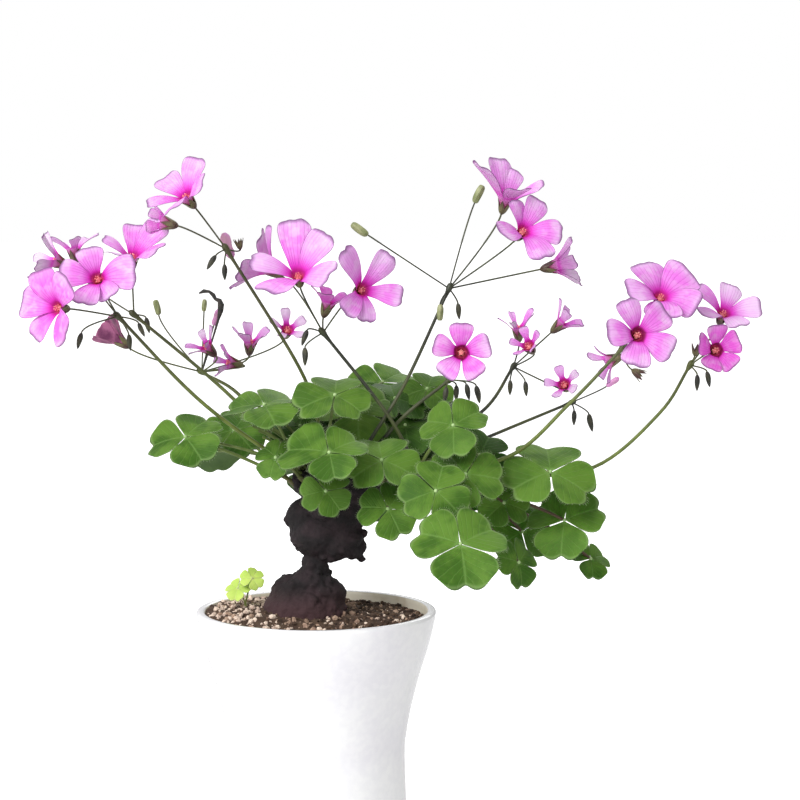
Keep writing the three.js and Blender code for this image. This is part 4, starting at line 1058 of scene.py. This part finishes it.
# buds: umbel, foot, way it points, size and kind
buds = [
    (0, (-57, -12, 197), (0.4, -0.1, -0.9), 0.9, "dark"), (0, (-61, -6, 193), (0.1, 0, -1), 1, "dark"),
    (0, (-75, -16, 194), (-0.2, -0.2, -0.9), 1, "dark"), (1, (-57, 8, 198), (0.2, 0.1, -1), 1, "dark"),
    (2, (-31, -21, 219), (-0.5, -0.2, -0.8), 1, "dark"),
    (2, (-29, -12, 216), (0, 0.3, -0.9), 1, "dark"),
    (2, (-26.6, -12, 218), (-0.3, 0, 0.95), 1.6, "pink"),
    (3, (-2, -18, 195), (-0.3, -0.2, -0.9), 1, "dark"), (3, (-3, -12, 189), (0, 0, -1), 1.1, "dark"),
    (4, (17.5, -10, 225.5), (-0.83, 0, 0.55), 1.2, "young"),
    (4, (52.5, 2, 236), (0.4, 0.1, 0.9), 1.2, "young"), (4, (41, -8, 203), (0, 0, -1), 1, "young"),
    (4, (47, 0, 203), (0.1, 0.1, -1), 1, "dark"), (5, (43, -9, 176), (-0.1, -0.1, -1), 1, "dark"),
    (5, (46.5, -2, 176), (0, 0.1, -1), 1, "dark"), (5, (49.5, -10, 177), (0.2, 0, -1), 1, "dark"),
    (5, (53, -4, 176), (0.2, 0, -1), 1.1, "dark"), (6, (67, 50, 174), (0, 0.1, -1), 1, "dark"),
    (6, (72, 45, 174), (0.1, 0, -1), 1, "dark"), (7, (90, 53, 163), (0, 0, -1), 1, "dark"),
    (7, (95, 50, 162), (0.2, 0, -1), 1.2, "dark"), (7, (101, 48, 172), (0.7, 0, 0.5), 1, "pink"),
    (9, (127, 5, 179), (0, 0, -1), 1, "dark"), (9, (130.5, 7, 180), (0.2, 0, -1), 1, "dark"),
    (10, (-55, 28, 198), (-0.2, 0, 1), 1, "young"), (10, (-37, 38, 194), (0.3, 0, 0.95), 1.1, "pink"),
    (10, (-39.9, 33, 199), (0.05, 0, 1), 0.8, "young"),
    (9, (126.3, 6, 185.5), (0.15, -0.2, 1), 0.8, "husk"),
    (8, (104.9, 0, 180.9), (0.5, 0, -0.3), 0.9, "husk"),
    (2, (-24, -10, 221), (-0.2, 0, 1), 0.7, "husk"),
]

# a dried stalk that curls over at its end: places with their radii
driedRun = [
    ((-40.9, 34, 178.1), 0.3), ((-37.2, 34, 189.1), 0.32), ((-35, 34, 196.4), 0.45),
    ((-34.3, 34, 199.2), 1.0), ((-34.1, 34, 201.3), 1.15), ((-34.6, 34, 202.8), 0.85),
    ((-36, 34, 203.4), 0.6), ((-36.7, 34, 204.7), 0.75), ((-38.1, 34, 205.9), 0.5),
    ((-40, 34, 206.1), 0.7), ((-41.7, 34, 205.3), 0.25),
]
driedUmbel = 10


def smoothLine(points, steps):
    stops = [Vector(point) for point in points]
    stops = [stops[0] * 2 - stops[1]] + stops + [stops[-1] * 2 - stops[-2]]
    line = []
    for place in range(1, len(stops) - 2):
        line += [spline(*stops[place - 1:place + 3], step / steps) for step in range(steps)]
    line.append(stops[-2])
    return line


# calyx: five narrow sepals closed into a slim cup, their tips a little free
calyxSettings = {
    "reaches": [(0, 0.7), (0.2, 1.25), (0.45, 1.6), (0.75, 1.95), (1, 2.45)],
    "heights": [(0, 0.0), (0.2, 0.8), (0.45, 2.1), (0.75, 3.5), (1, 4.9)],
    "halfWidths": [(0, 0.45), (0.25, 0.9), (0.45, 0.95), (0.7, 0.7), (0.9, 0.32), (1, 0.06)],
    "closest": 0.8,
    "sideDrop": 0.25,
    "thickness": 0.2,
    "foot": 0.78,
    "green": (0.15, 0.14, 0.055),
    "maroon": (0.07, 0.028, 0.028),
}


def makeCalyx():
    parts = []
    bpy.ops.mesh.primitive_grid_add(x_subdivisions=7, y_subdivisions=4, size=1)
    sheet = justMade("sepalSheet")
    for turn in range(5):
        piece = copyOf(sheet)
        turned = Matrix.Rotation(math.tau * (turn + 0.5) / 5, 4, "Z")
        for vertex in piece.data.vertices:
            share, side = vertex.co.x + 0.5, vertex.co.y * 2
            reach = between(calyxSettings["reaches"], share)
            height = between(calyxSettings["heights"], share)
            height -= calyxSettings["sideDrop"] * abs(side) * share
            wide = side * between(calyxSettings["halfWidths"], share)
            bend = wide / max(reach, calyxSettings["closest"])
            spot = Vector((reach * math.cos(bend), reach * math.sin(bend), height))
            vertex.co = (turned @ spot) * mm
        parts.append(piece)
    bpy.data.objects.remove(sheet)
    bpy.ops.mesh.primitive_uv_sphere_add(segments=12, ring_count=8, radius=calyxSettings["foot"] * mm,
                                         location=at((0, 0, 0.25)))
    knob = justMade("calyxFoot")
    putAtOrigin(knob)
    cup = joined(parts, "calyx")
    thick = cup.modifiers.new("thickness", "SOLIDIFY")
    thick.thickness = calyxSettings["thickness"] * mm
    thick.offset = 0
    applyAll(cup)
    return joined([cup, knob], "calyx")


# bud: a slim cup of sepals with the rolled petals standing out of it
budSettings = {
    "rows": {
        "dark": [(0, 0.32), (0.5, 0.62), (1.4, 0.85), (2.6, 0.84), (3.9, 0.62), (4.8, 0.36), (5.4, 0.1)],
        "young": [(0, 0.4), (0.5, 0.85), (1.4, 1.02), (2.8, 1.05), (4.2, 1), (5, 0.85), (5.4, 0.45)],
        "pink": [(0, 0.4), (0.5, 0.8), (1.4, 0.95), (2.3, 0.85), (3.4, 1.05), (4.6, 0.95), (5.4, 0.35)],
    },
    "ribs": 0.12,
    "twist": 0.16,
    "finishes": [
        ("dark", (0.022, 0.024, 0.018), (0.06, 0.06, 0.032), 350.0, 0.6, 0.15),
        ("young", (0.15, 0.18, 0.065), (0.34, 0.36, 0.18), 250.0, 0.5, 0.12),
        ("pink", (0.62, 0.32, 0.45), (0.72, 0.3, 0.62), 250.0, 0.5, 0.12),
    ],
}


def makeBud(rows):
    bpy.ops.mesh.primitive_uv_sphere_add(segments=20, ring_count=14, radius=1)
    piece = justMade("bud")
    for vertex in piece.data.vertices:
        height = (vertex.co.z + 1) / 2 * rows[-1][0]
        radius = between(rows, height)
        flat = math.hypot(vertex.co.x, vertex.co.y)
        angle = math.atan2(vertex.co.y, vertex.co.x)
        radius *= 0 if flat < 0.001 else 1 + budSettings["ribs"] * math.cos(angle * 5)
        twist = angle + height * budSettings["twist"]
        vertex.co = at((radius * math.cos(twist), radius * math.sin(twist), height))
    return piece


def pedicelRun(hub, foot, facing, radius):
    control = foot - facing * (hub - foot).length * stalkSettings["pedicelBend"]
    return tapered(hub, control, foot, radius, radius * stalkSettings["pedicelSwell"], 12)


def bloomPlace(bloom):
    facing = Vector(bloom[2]).normalized()
    foot = Vector(bloom[1]) - facing * petalSettings["throatHeight"]
    return Matrix.Translation(foot) @ basis(facing, math.radians(bloom[3]))


def inPlace(template, place, material):
    piece = copyOf(template)
    piece.data.transform(Matrix.Scale(mm, 4) @ place @ Matrix.Scale(1 / mm, 4))
    dress(piece, material, tone=0.5)
    return piece


# petals: five on a short throat that opens into a flat limb
petalSettings = {
    "rows": 13,
    "columns": 8,
    "throatHeight": 4.7,
    "throatRadius": 2,
    "tube": 0.2,
    "tubeFoot": (0.75, 1.5),
    "tubeWidths": (0.55, 1.5),
    "tubeBend": 1.3,
    "throatShare": 0.25,
    "flareStart": 30,
    "bend": 0.4,
    "halfWidths": [(0.2, 0.19), (0.42, 0.29), (0.62, 0.37), (0.8, 0.42), (0.92, 0.425), (1, 0.385)],
    "widening": 0.3,
    "corner": (0.1, 3.4),
    "dent": (0.03, 3),
    "nick": (0.012, 8),
    "overlap": 0.18,
    "cup": 0.05,
    "ruffle": (0.035, 3.6),
    "pleat": (0.01, 11),
    "spread": {"length": (0.96, 1.03), "opening": (-4, 4), "width": (0.94, 1.06), "turn": (-2, 2),
               "tone": (-0.22, 0.22)},
    "thickness": 0.2,
    "orchid": (0.76, 0.19, 0.71),
    "pale": (0.76, 0.42, 0.79),
    "white": (0.84, 0.7, 0.86),
    "magenta": (0.72, 0.035, 0.54),
    "wine": (0.2, 0.003, 0.05),
    "rose": (0.5, 0.012, 0.24),
    "glow": (0.8, 0.1, 0.18),
    "vein": (0.45, 0.03, 0.38),
    "edge": (0.12, 0.045, 0.14),
    "back": (0.74, 0.26, 0.69),
    "throatBack": (0.42, 0.1, 0.2),
    "wilted": [(0.16, 0.03, 0.1), (0.42, 0.13, 0.26)],
}


def tubeSpot(part):  # how far out and how high it stands, its half width and its slope
    throat, top = petalSettings["throatRadius"], petalSettings["throatHeight"]
    footRadius, footHeight = petalSettings["tubeFoot"]
    narrow, broad = petalSettings["tubeWidths"]
    slope = Vector((throat - footRadius, top - footHeight)).normalized()
    out = footRadius + (throat - footRadius) * part ** petalSettings["tubeBend"]
    return out, footHeight + (top - footHeight) * part, narrow + (broad - narrow) * part, slope


def limbSpot(petal, length, ahead, side, wave):  # the same for the open part of a petal
    opening, broad = petal[1:]
    (corner, power), (dent, dentWidth), (nick, nickTurns) = (
        petalSettings[name] for name in ("corner", "dent", "nick"))
    flare = math.radians(petalSettings["flareStart"])
    start = Vector((petalSettings["throatRadius"], petalSettings["throatHeight"]))
    bend = start + Vector((math.sin(flare), math.cos(flare))) * length * petalSettings["bend"]
    end = start + Vector((math.sin(opening), math.cos(opening))) * length
    slope = ((bend - start) * (1 - ahead) + (end - bend) * ahead).normalized()
    widths = [(0, petalSettings["tubeWidths"][1] / length)] + petalSettings["halfWidths"]
    wide = length * between(widths, ahead)
    wide += (wide * broad - wide) * min(ahead / petalSettings["widening"], 1)
    back = corner * abs(side) ** power + dent * max(0, 1 - abs(side) * dentWidth)
    back += nick * math.sin(side * nickTurns + wave)
    out, height = quadratic(start, bend, end, ahead) - slope * length * back * ahead ** 4
    return out, height, wide, slope


def petalSpot(petal, share, side, wave):
    tube, throatShare = petalSettings["tube"], petalSettings["throatShare"]
    (ruffle, ruffleTurns), (pleat, pleatTurns) = petalSettings["ruffle"], petalSettings["pleat"]
    length = (petal[0] - petalSettings["throatRadius"]) / math.sin(petal[1])
    if share < tube:
        ahead = 0.0
        out, height, wide, slope = tubeSpot(share / tube)
    else:
        ahead = (share - tube) / (1 - tube)
        out, height, wide, slope = limbSpot(petal, length, ahead, side, wave)
    wavy = ruffle * math.sin(side * ruffleTurns + wave)
    wavy += pleat * math.sin(side * pleatTurns + wave * 2)
    rise = wavy * length * ahead ** 2 + petalSettings["overlap"] * side * wide
    rise += petalSettings["cup"] * side ** 2 * wide * (1 - ahead)
    aside = side * wide
    if ahead < throatShare:  # near the throat a petal follows the round tube
        angle = aside / max(out, 0.7)
        curled = Vector((out * math.cos(angle), out * math.sin(angle)))
        out, aside = Vector((out, aside)).lerp(curled, 1 - ahead / throatShare)
    return Vector((out - slope.y * rise, aside, height + slope.x * rise))


def makePetals(bloom, index, draw):
    place = bloomPlace(bloom)
    reach, opening, broad, tone = bloom[4:]
    turns, lengths = unevenBlooms.get(index, ((0,) * 5, (1,) * 5))
    throat, spread = petalSettings["throatRadius"], petalSettings["spread"]
    parts = []
    for number in range(5):
        piece = copyOf(petalSheet)
        wave = draw.uniform(0, math.tau)
        long = throat + (reach - throat) * lengths[number] * draw.uniform(*spread["length"])
        opened = math.radians(opening + draw.uniform(*spread["opening"]))
        petal = (long, opened, broad * draw.uniform(*spread["width"]))
        turn = math.tau * number / 5 + math.radians(turns[number] + draw.uniform(*spread["turn"]))
        turned = place @ Matrix.Rotation(turn, 4, "Z")
        for vertex in piece.data.vertices:
            spot = petalSpot(petal, vertex.co.x + 0.5, vertex.co.y * 2, wave)
            vertex.co = (turned @ spot) * mm
        setTone(piece, clamped(tone + draw.uniform(*spread["tone"])))
        parts.append(piece)
    petals = joined(parts, "petals")
    face, back = ringedFace if index in ringedBlooms else petalFace, petalBack
    if index == wiltedBloom:
        face = back = wiltedPetal
    dress(petals, face, back)
    thickened(petals, petalSettings["thickness"])
    return petals


# middle of a bloom: ten stamens in two heights round a heart of styles
middleSettings = {
    "heart": 0.85,
    "heartHeight": 3.7,
    "rings": [(5, 0.95, 4.2, 0.0), (5, 0.62, 5.5, 0.5)],
    "anther": 0.27,
    "filament": 0.1,
    "filamentFoot": 1.6,
    "filamentBow": 0.12,
    "anthers": [(1.0, 0.4, 0.36), (0.85, 0.2, 0.24)],
    "filaments": [(0.95, 0.5, 0.45), (0.85, 0.45, 0.35)],
}


def makeMiddle():
    anthers, runs = [], []
    for count, reach, height, shift in middleSettings["rings"]:
        for turn in range(count):
            angle = math.tau * (turn + shift) / count
            tip = Vector((reach * math.cos(angle), reach * math.sin(angle), height))
            foot = Vector((tip.x * 0.4, tip.y * 0.4, middleSettings["filamentFoot"]))
            bow = (foot + tip) / 2 + Vector((tip.x, tip.y, 0)) * middleSettings["filamentBow"]
            runs.append([(spot, middleSettings["filament"]) for spot in (foot, bow, tip)])
            bpy.ops.mesh.primitive_ico_sphere_add(subdivisions=1, radius=middleSettings["anther"] * mm,
                                                  location=at(tip), scale=(1, 0.8, 1.5))
            anthers.append(justMade("anther"))
    bpy.ops.mesh.primitive_ico_sphere_add(subdivisions=2, radius=middleSettings["heart"] * mm,
                                          location=at((0, 0, middleSettings["heartHeight"])),
                                          scale=(1, 1, 0.8))
    anthers.append(justMade("heart"))
    heads = joined(anthers, "anthers")
    putAtOrigin(heads)
    return heads, tubes("filaments", runs, 0)


def petalMaterial(name, eyeStops, limbColour, veins):
    material, tree, shader = newMaterial(name, 0.6, Subsurface_Weight=0.15, Subsurface_Scale=0.002,
                                         Specular_IOR_Level=0.25)
    shader.inputs["Subsurface Radius"].default_value = (1.0, 0.4, 0.9)
    magenta, pale, white = (petalSettings[name] for name in ("magenta", "pale", "white"))
    along = uvOf(tree)[0]
    tone = attributeOf(tree, "tone")
    tipward = ranged(tree, along, 0.35, 0.8)
    limb = ramp(tree, along, ((0.3, magenta), (0.5, limbColour), (0.75, limbColour), (1.0, pale)))
    paler = times(tree, ranged(tree, tone, 0.55, 0.15, 0.0, 0.8), tipward)
    whiter = times(tree, ranged(tree, tone, 0.3, 0.0, 0.0, 0.7), tipward)
    deeper = ranged(tree, tone, 0.6, 1.0, 0.0, 0.6)
    fan = placed(tree, lines, Along=0.0, Aside=1.0, Count=4.5, Width=0.36, Waver=0.5)["Mask"]
    drawn = times(tree, times(tree, fan, ranged(tree, along, 0.25, 0.95, 0.95, 0.2)), veins)
    patches = times(tree, ranged(tree, noiseOf(tree, 300.0, 2.0), 0.4, 0.68, 0.0, 0.4), tipward)
    border = times(tree, placed(tree, rim, Width=0.08)["Mask"], 0.9)
    nearEye = ranged(tree, along, 0.24, 0.36, 1.0, 0.0)
    body = limb
    for share, colour in ((paler, pale), (whiter, white), (deeper, magenta),
                          (drawn, petalSettings["vein"]), (patches, white),
                          (border, petalSettings["edge"])):
        body = mixed(tree, share, body, colour)
    body = mixed(tree, nearEye, body, ramp(tree, along, eyeStops))
    painted(tree, shader, shaded(tree, body, (0.93, 0.88, 0.93), 150.0))
    height = math2(tree, "MULTIPLY_ADD", fan, -0.6, noiseOf(tree, 700.0, 2.0))
    bumped(tree, shader, height, 0.16, 0.7)
    return material


glow, rose, wine, magenta, orchid, backPink, throatBack = (
    petalSettings[name] for name in ("glow", "rose", "wine", "magenta", "orchid", "back", "throatBack"))
plainEye = ((0.1, glow), (0.22, rose), (0.34, magenta))
ringedEye = ((0.1, glow), (0.2, wine), (0.3, wine), (0.36, magenta))
petalFace = petalMaterial("petalFace", plainEye, orchid, 0.85)
ringedFace = petalMaterial("ringedFace", ringedEye, orchid, 0.85)
petalBack = petalMaterial("petalBack", ((0.1, throatBack), (0.34, backPink)), backPink, 0.5)
wiltedPetal = plainMaterial("wiltedPetal", *petalSettings["wilted"], 260.0, 0.7, 0.2)
anthers = plainMaterial("anthers", *middleSettings["anthers"], 900.0, 0.7, 0.05)
filaments = plainMaterial("filaments", *middleSettings["filaments"], 500.0, 0.5, 0.05)

bpy.ops.mesh.primitive_grid_add(size=1, x_subdivisions=petalSettings["rows"],
                                y_subdivisions=petalSettings["columns"])
petalSheet = justMade("petalSheet")
heads, threads = makeMiddle()
bloomDraw = random.Random(33)
for index, bloom in enumerate(blooms):
    place = bloomPlace(bloom)
    middle = [inPlace(heads, place, anthers), inPlace(threads, place, filaments)]
    flower = joined([makePetals(bloom, index, bloomDraw)] + middle, f"bloom{index + 1:02d}")
    smooth(flower)
    stand(flower, "petal", f"bloom_{index + 1:02d}")
print("blooms done")

scape = stalkMaterial("flowerStalk", stalkSettings["scape"])
darkScape = plainMaterial("darkFlowerStalk", *stalkSettings["darkScape"], 60.0, 0.5, 0.12)
dryStalk = plainMaterial("dryStalk", *stalkSettings["dry"], 400.0, 0.7, 0.2)
sepals = plainMaterial("sepals", calyxSettings["green"], calyxSettings["maroon"], 230.0, 0.5, 0.12)
calyx = makeCalyx()
budKinds = {"husk": (calyx, sepals)}
for kind, first, second, scale, roughness, bump in budSettings["finishes"]:
    finish = plainMaterial(f"{kind}Buds", first, second, scale, roughness, bump)
    budKinds[kind] = (makeBud(budSettings["rows"][kind]), finish)


def makeFlowerStalk(index, umbel):
    line = smoothLine(umbel, stalkSettings["steps"])
    hub, way = line[-1], (line[-1] - line[-2]).normalized() * stalkSettings["halfHub"]
    thick, thin, pedicel = (stalkSettings[name] for name in ("footRadius", "tipRadius", "pedicelRadius"))
    main = [(spot, thick + (thin - thick) * place / len(line)) for place, spot in enumerate(line[:-1])]
    main += [(hub + way * place, radius) for place, radius in stalkSettings["hub"]]
    runs, tops = [main], []
    for bloom in blooms:
        if bloom[0] == index:
            place = bloomPlace(bloom)
            facing = Vector(bloom[2]).normalized()
            below = place @ Vector((0, 0, stalkSettings["calyxFoot"]))
            runs.append(pedicelRun(hub, below, facing, pedicel))
            tops.append(inPlace(calyx, place, sepals))
    for umbelHere, foot, points, size, kind in buds:
        if umbelHere == index:
            facing = Vector(points).normalized()
            runs.append(pedicelRun(hub, Vector(foot), facing, stalkSettings["budStalkRadius"]))
            spun = basis(facing, size * stalkSettings["budSpin"])
            place = Matrix.Translation(foot) @ spun @ Matrix.Scale(size, 4)
            shape, finish = budKinds[kind]
            tops.append(inPlace(shape, place, finish))
    if index == driedUmbel:
        dried = tubes("dried", [[(Vector(spot), radius) for spot, radius in driedRun]])
        dress(dried, dryStalk, tone=0.5)
        tops.append(dried)
    stems = tubes("stems", runs)
    dress(stems, darkScape if index in darkUmbels else scape, tone=0.5)
    return joined([stems] + tops, f"flowerStalk{index + 1:02d}")


for index, umbel in enumerate(umbels):
    stalk = makeFlowerStalk(index, umbel)
    smooth(stalk)
    stand(stalk, "stalk", f"flower_stalk_{index + 1:02d}")
templates = [leafSheet, leafFringe, petalSheet, heads, threads] + [kind[0] for kind in budKinds.values()]
for template in templates:
    bpy.data.objects.remove(template)
print("flower stalks done")


# floor, light and camera: a plain pale set in soft light
setSettings = {
    "floor": (0.8, 0.8, 0.8),
    "floorGlow": 0.8,
    "backdrop": 1.0,
    "sky": 0.62,
    "camera": (27.9, -697, 226.7),
    "down": 85.43,
    "lens": 94.95,
    "lamps": [
        ("keyLight", (-0.7, -0.95, 0.95), 0.8, 20.0),
        ("backLight", (0.2, 1.0, 0.9), 0.9, 5.0),
    ],
    "aim": (0.02, 0, 0.16),
}
bpy.ops.mesh.primitive_plane_add(size=80)
floor = justMade("paleFloor")
pale, tree, shader = newMaterial("paleFloor", 0.9, setSettings["floor"])
shader.inputs["Emission Color"].default_value = (1, 1, 1, 1)
seen = tree.nodes.new("ShaderNodeLightPath").outputs["Is Camera Ray"]
tree.links.new(times(tree, seen, setSettings["floorGlow"]), shader.inputs["Emission Strength"])
dress(floor, pale)

world = bpy.data.worlds.new("softSky")
bpy.context.scene.world = world
world.use_nodes = True
sky = world.node_tree.nodes["Background"]
sky.inputs["Color"].default_value = (1, 1, 1, 1)
seen = world.node_tree.nodes.new("ShaderNodeLightPath").outputs["Is Camera Ray"]
strength = ranged(world.node_tree, seen, 0.0, 1.0, setSettings["sky"], setSettings["backdrop"])
world.node_tree.links.new(strength, sky.inputs["Strength"])

for name, place, size, power in setSettings["lamps"]:
    lamp = bpy.data.lights.new(name, "AREA")
    lamp.size = size
    lamp.energy = power
    light = bpy.data.objects.new(name, lamp)
    light.location = place
    toAim = Vector(setSettings["aim"]) - light.location
    light.rotation_euler = toAim.to_track_quat("-Z", "Y").to_euler()
    bpy.context.scene.collection.objects.link(light)

view = bpy.data.cameras.new("camera")
view.lens = setSettings["lens"]
view.sensor_width = 36
view.clip_start = 0.01
camera = bpy.data.objects.new("camera", view)
camera.location = at(setSettings["camera"])
camera.rotation_euler = (math.radians(setSettings["down"]), 0, 0)
bpy.context.scene.collection.objects.link(camera)
bpy.context.scene.camera = camera
bpy.context.scene.view_settings.view_transform = "Standard"
print("set done")
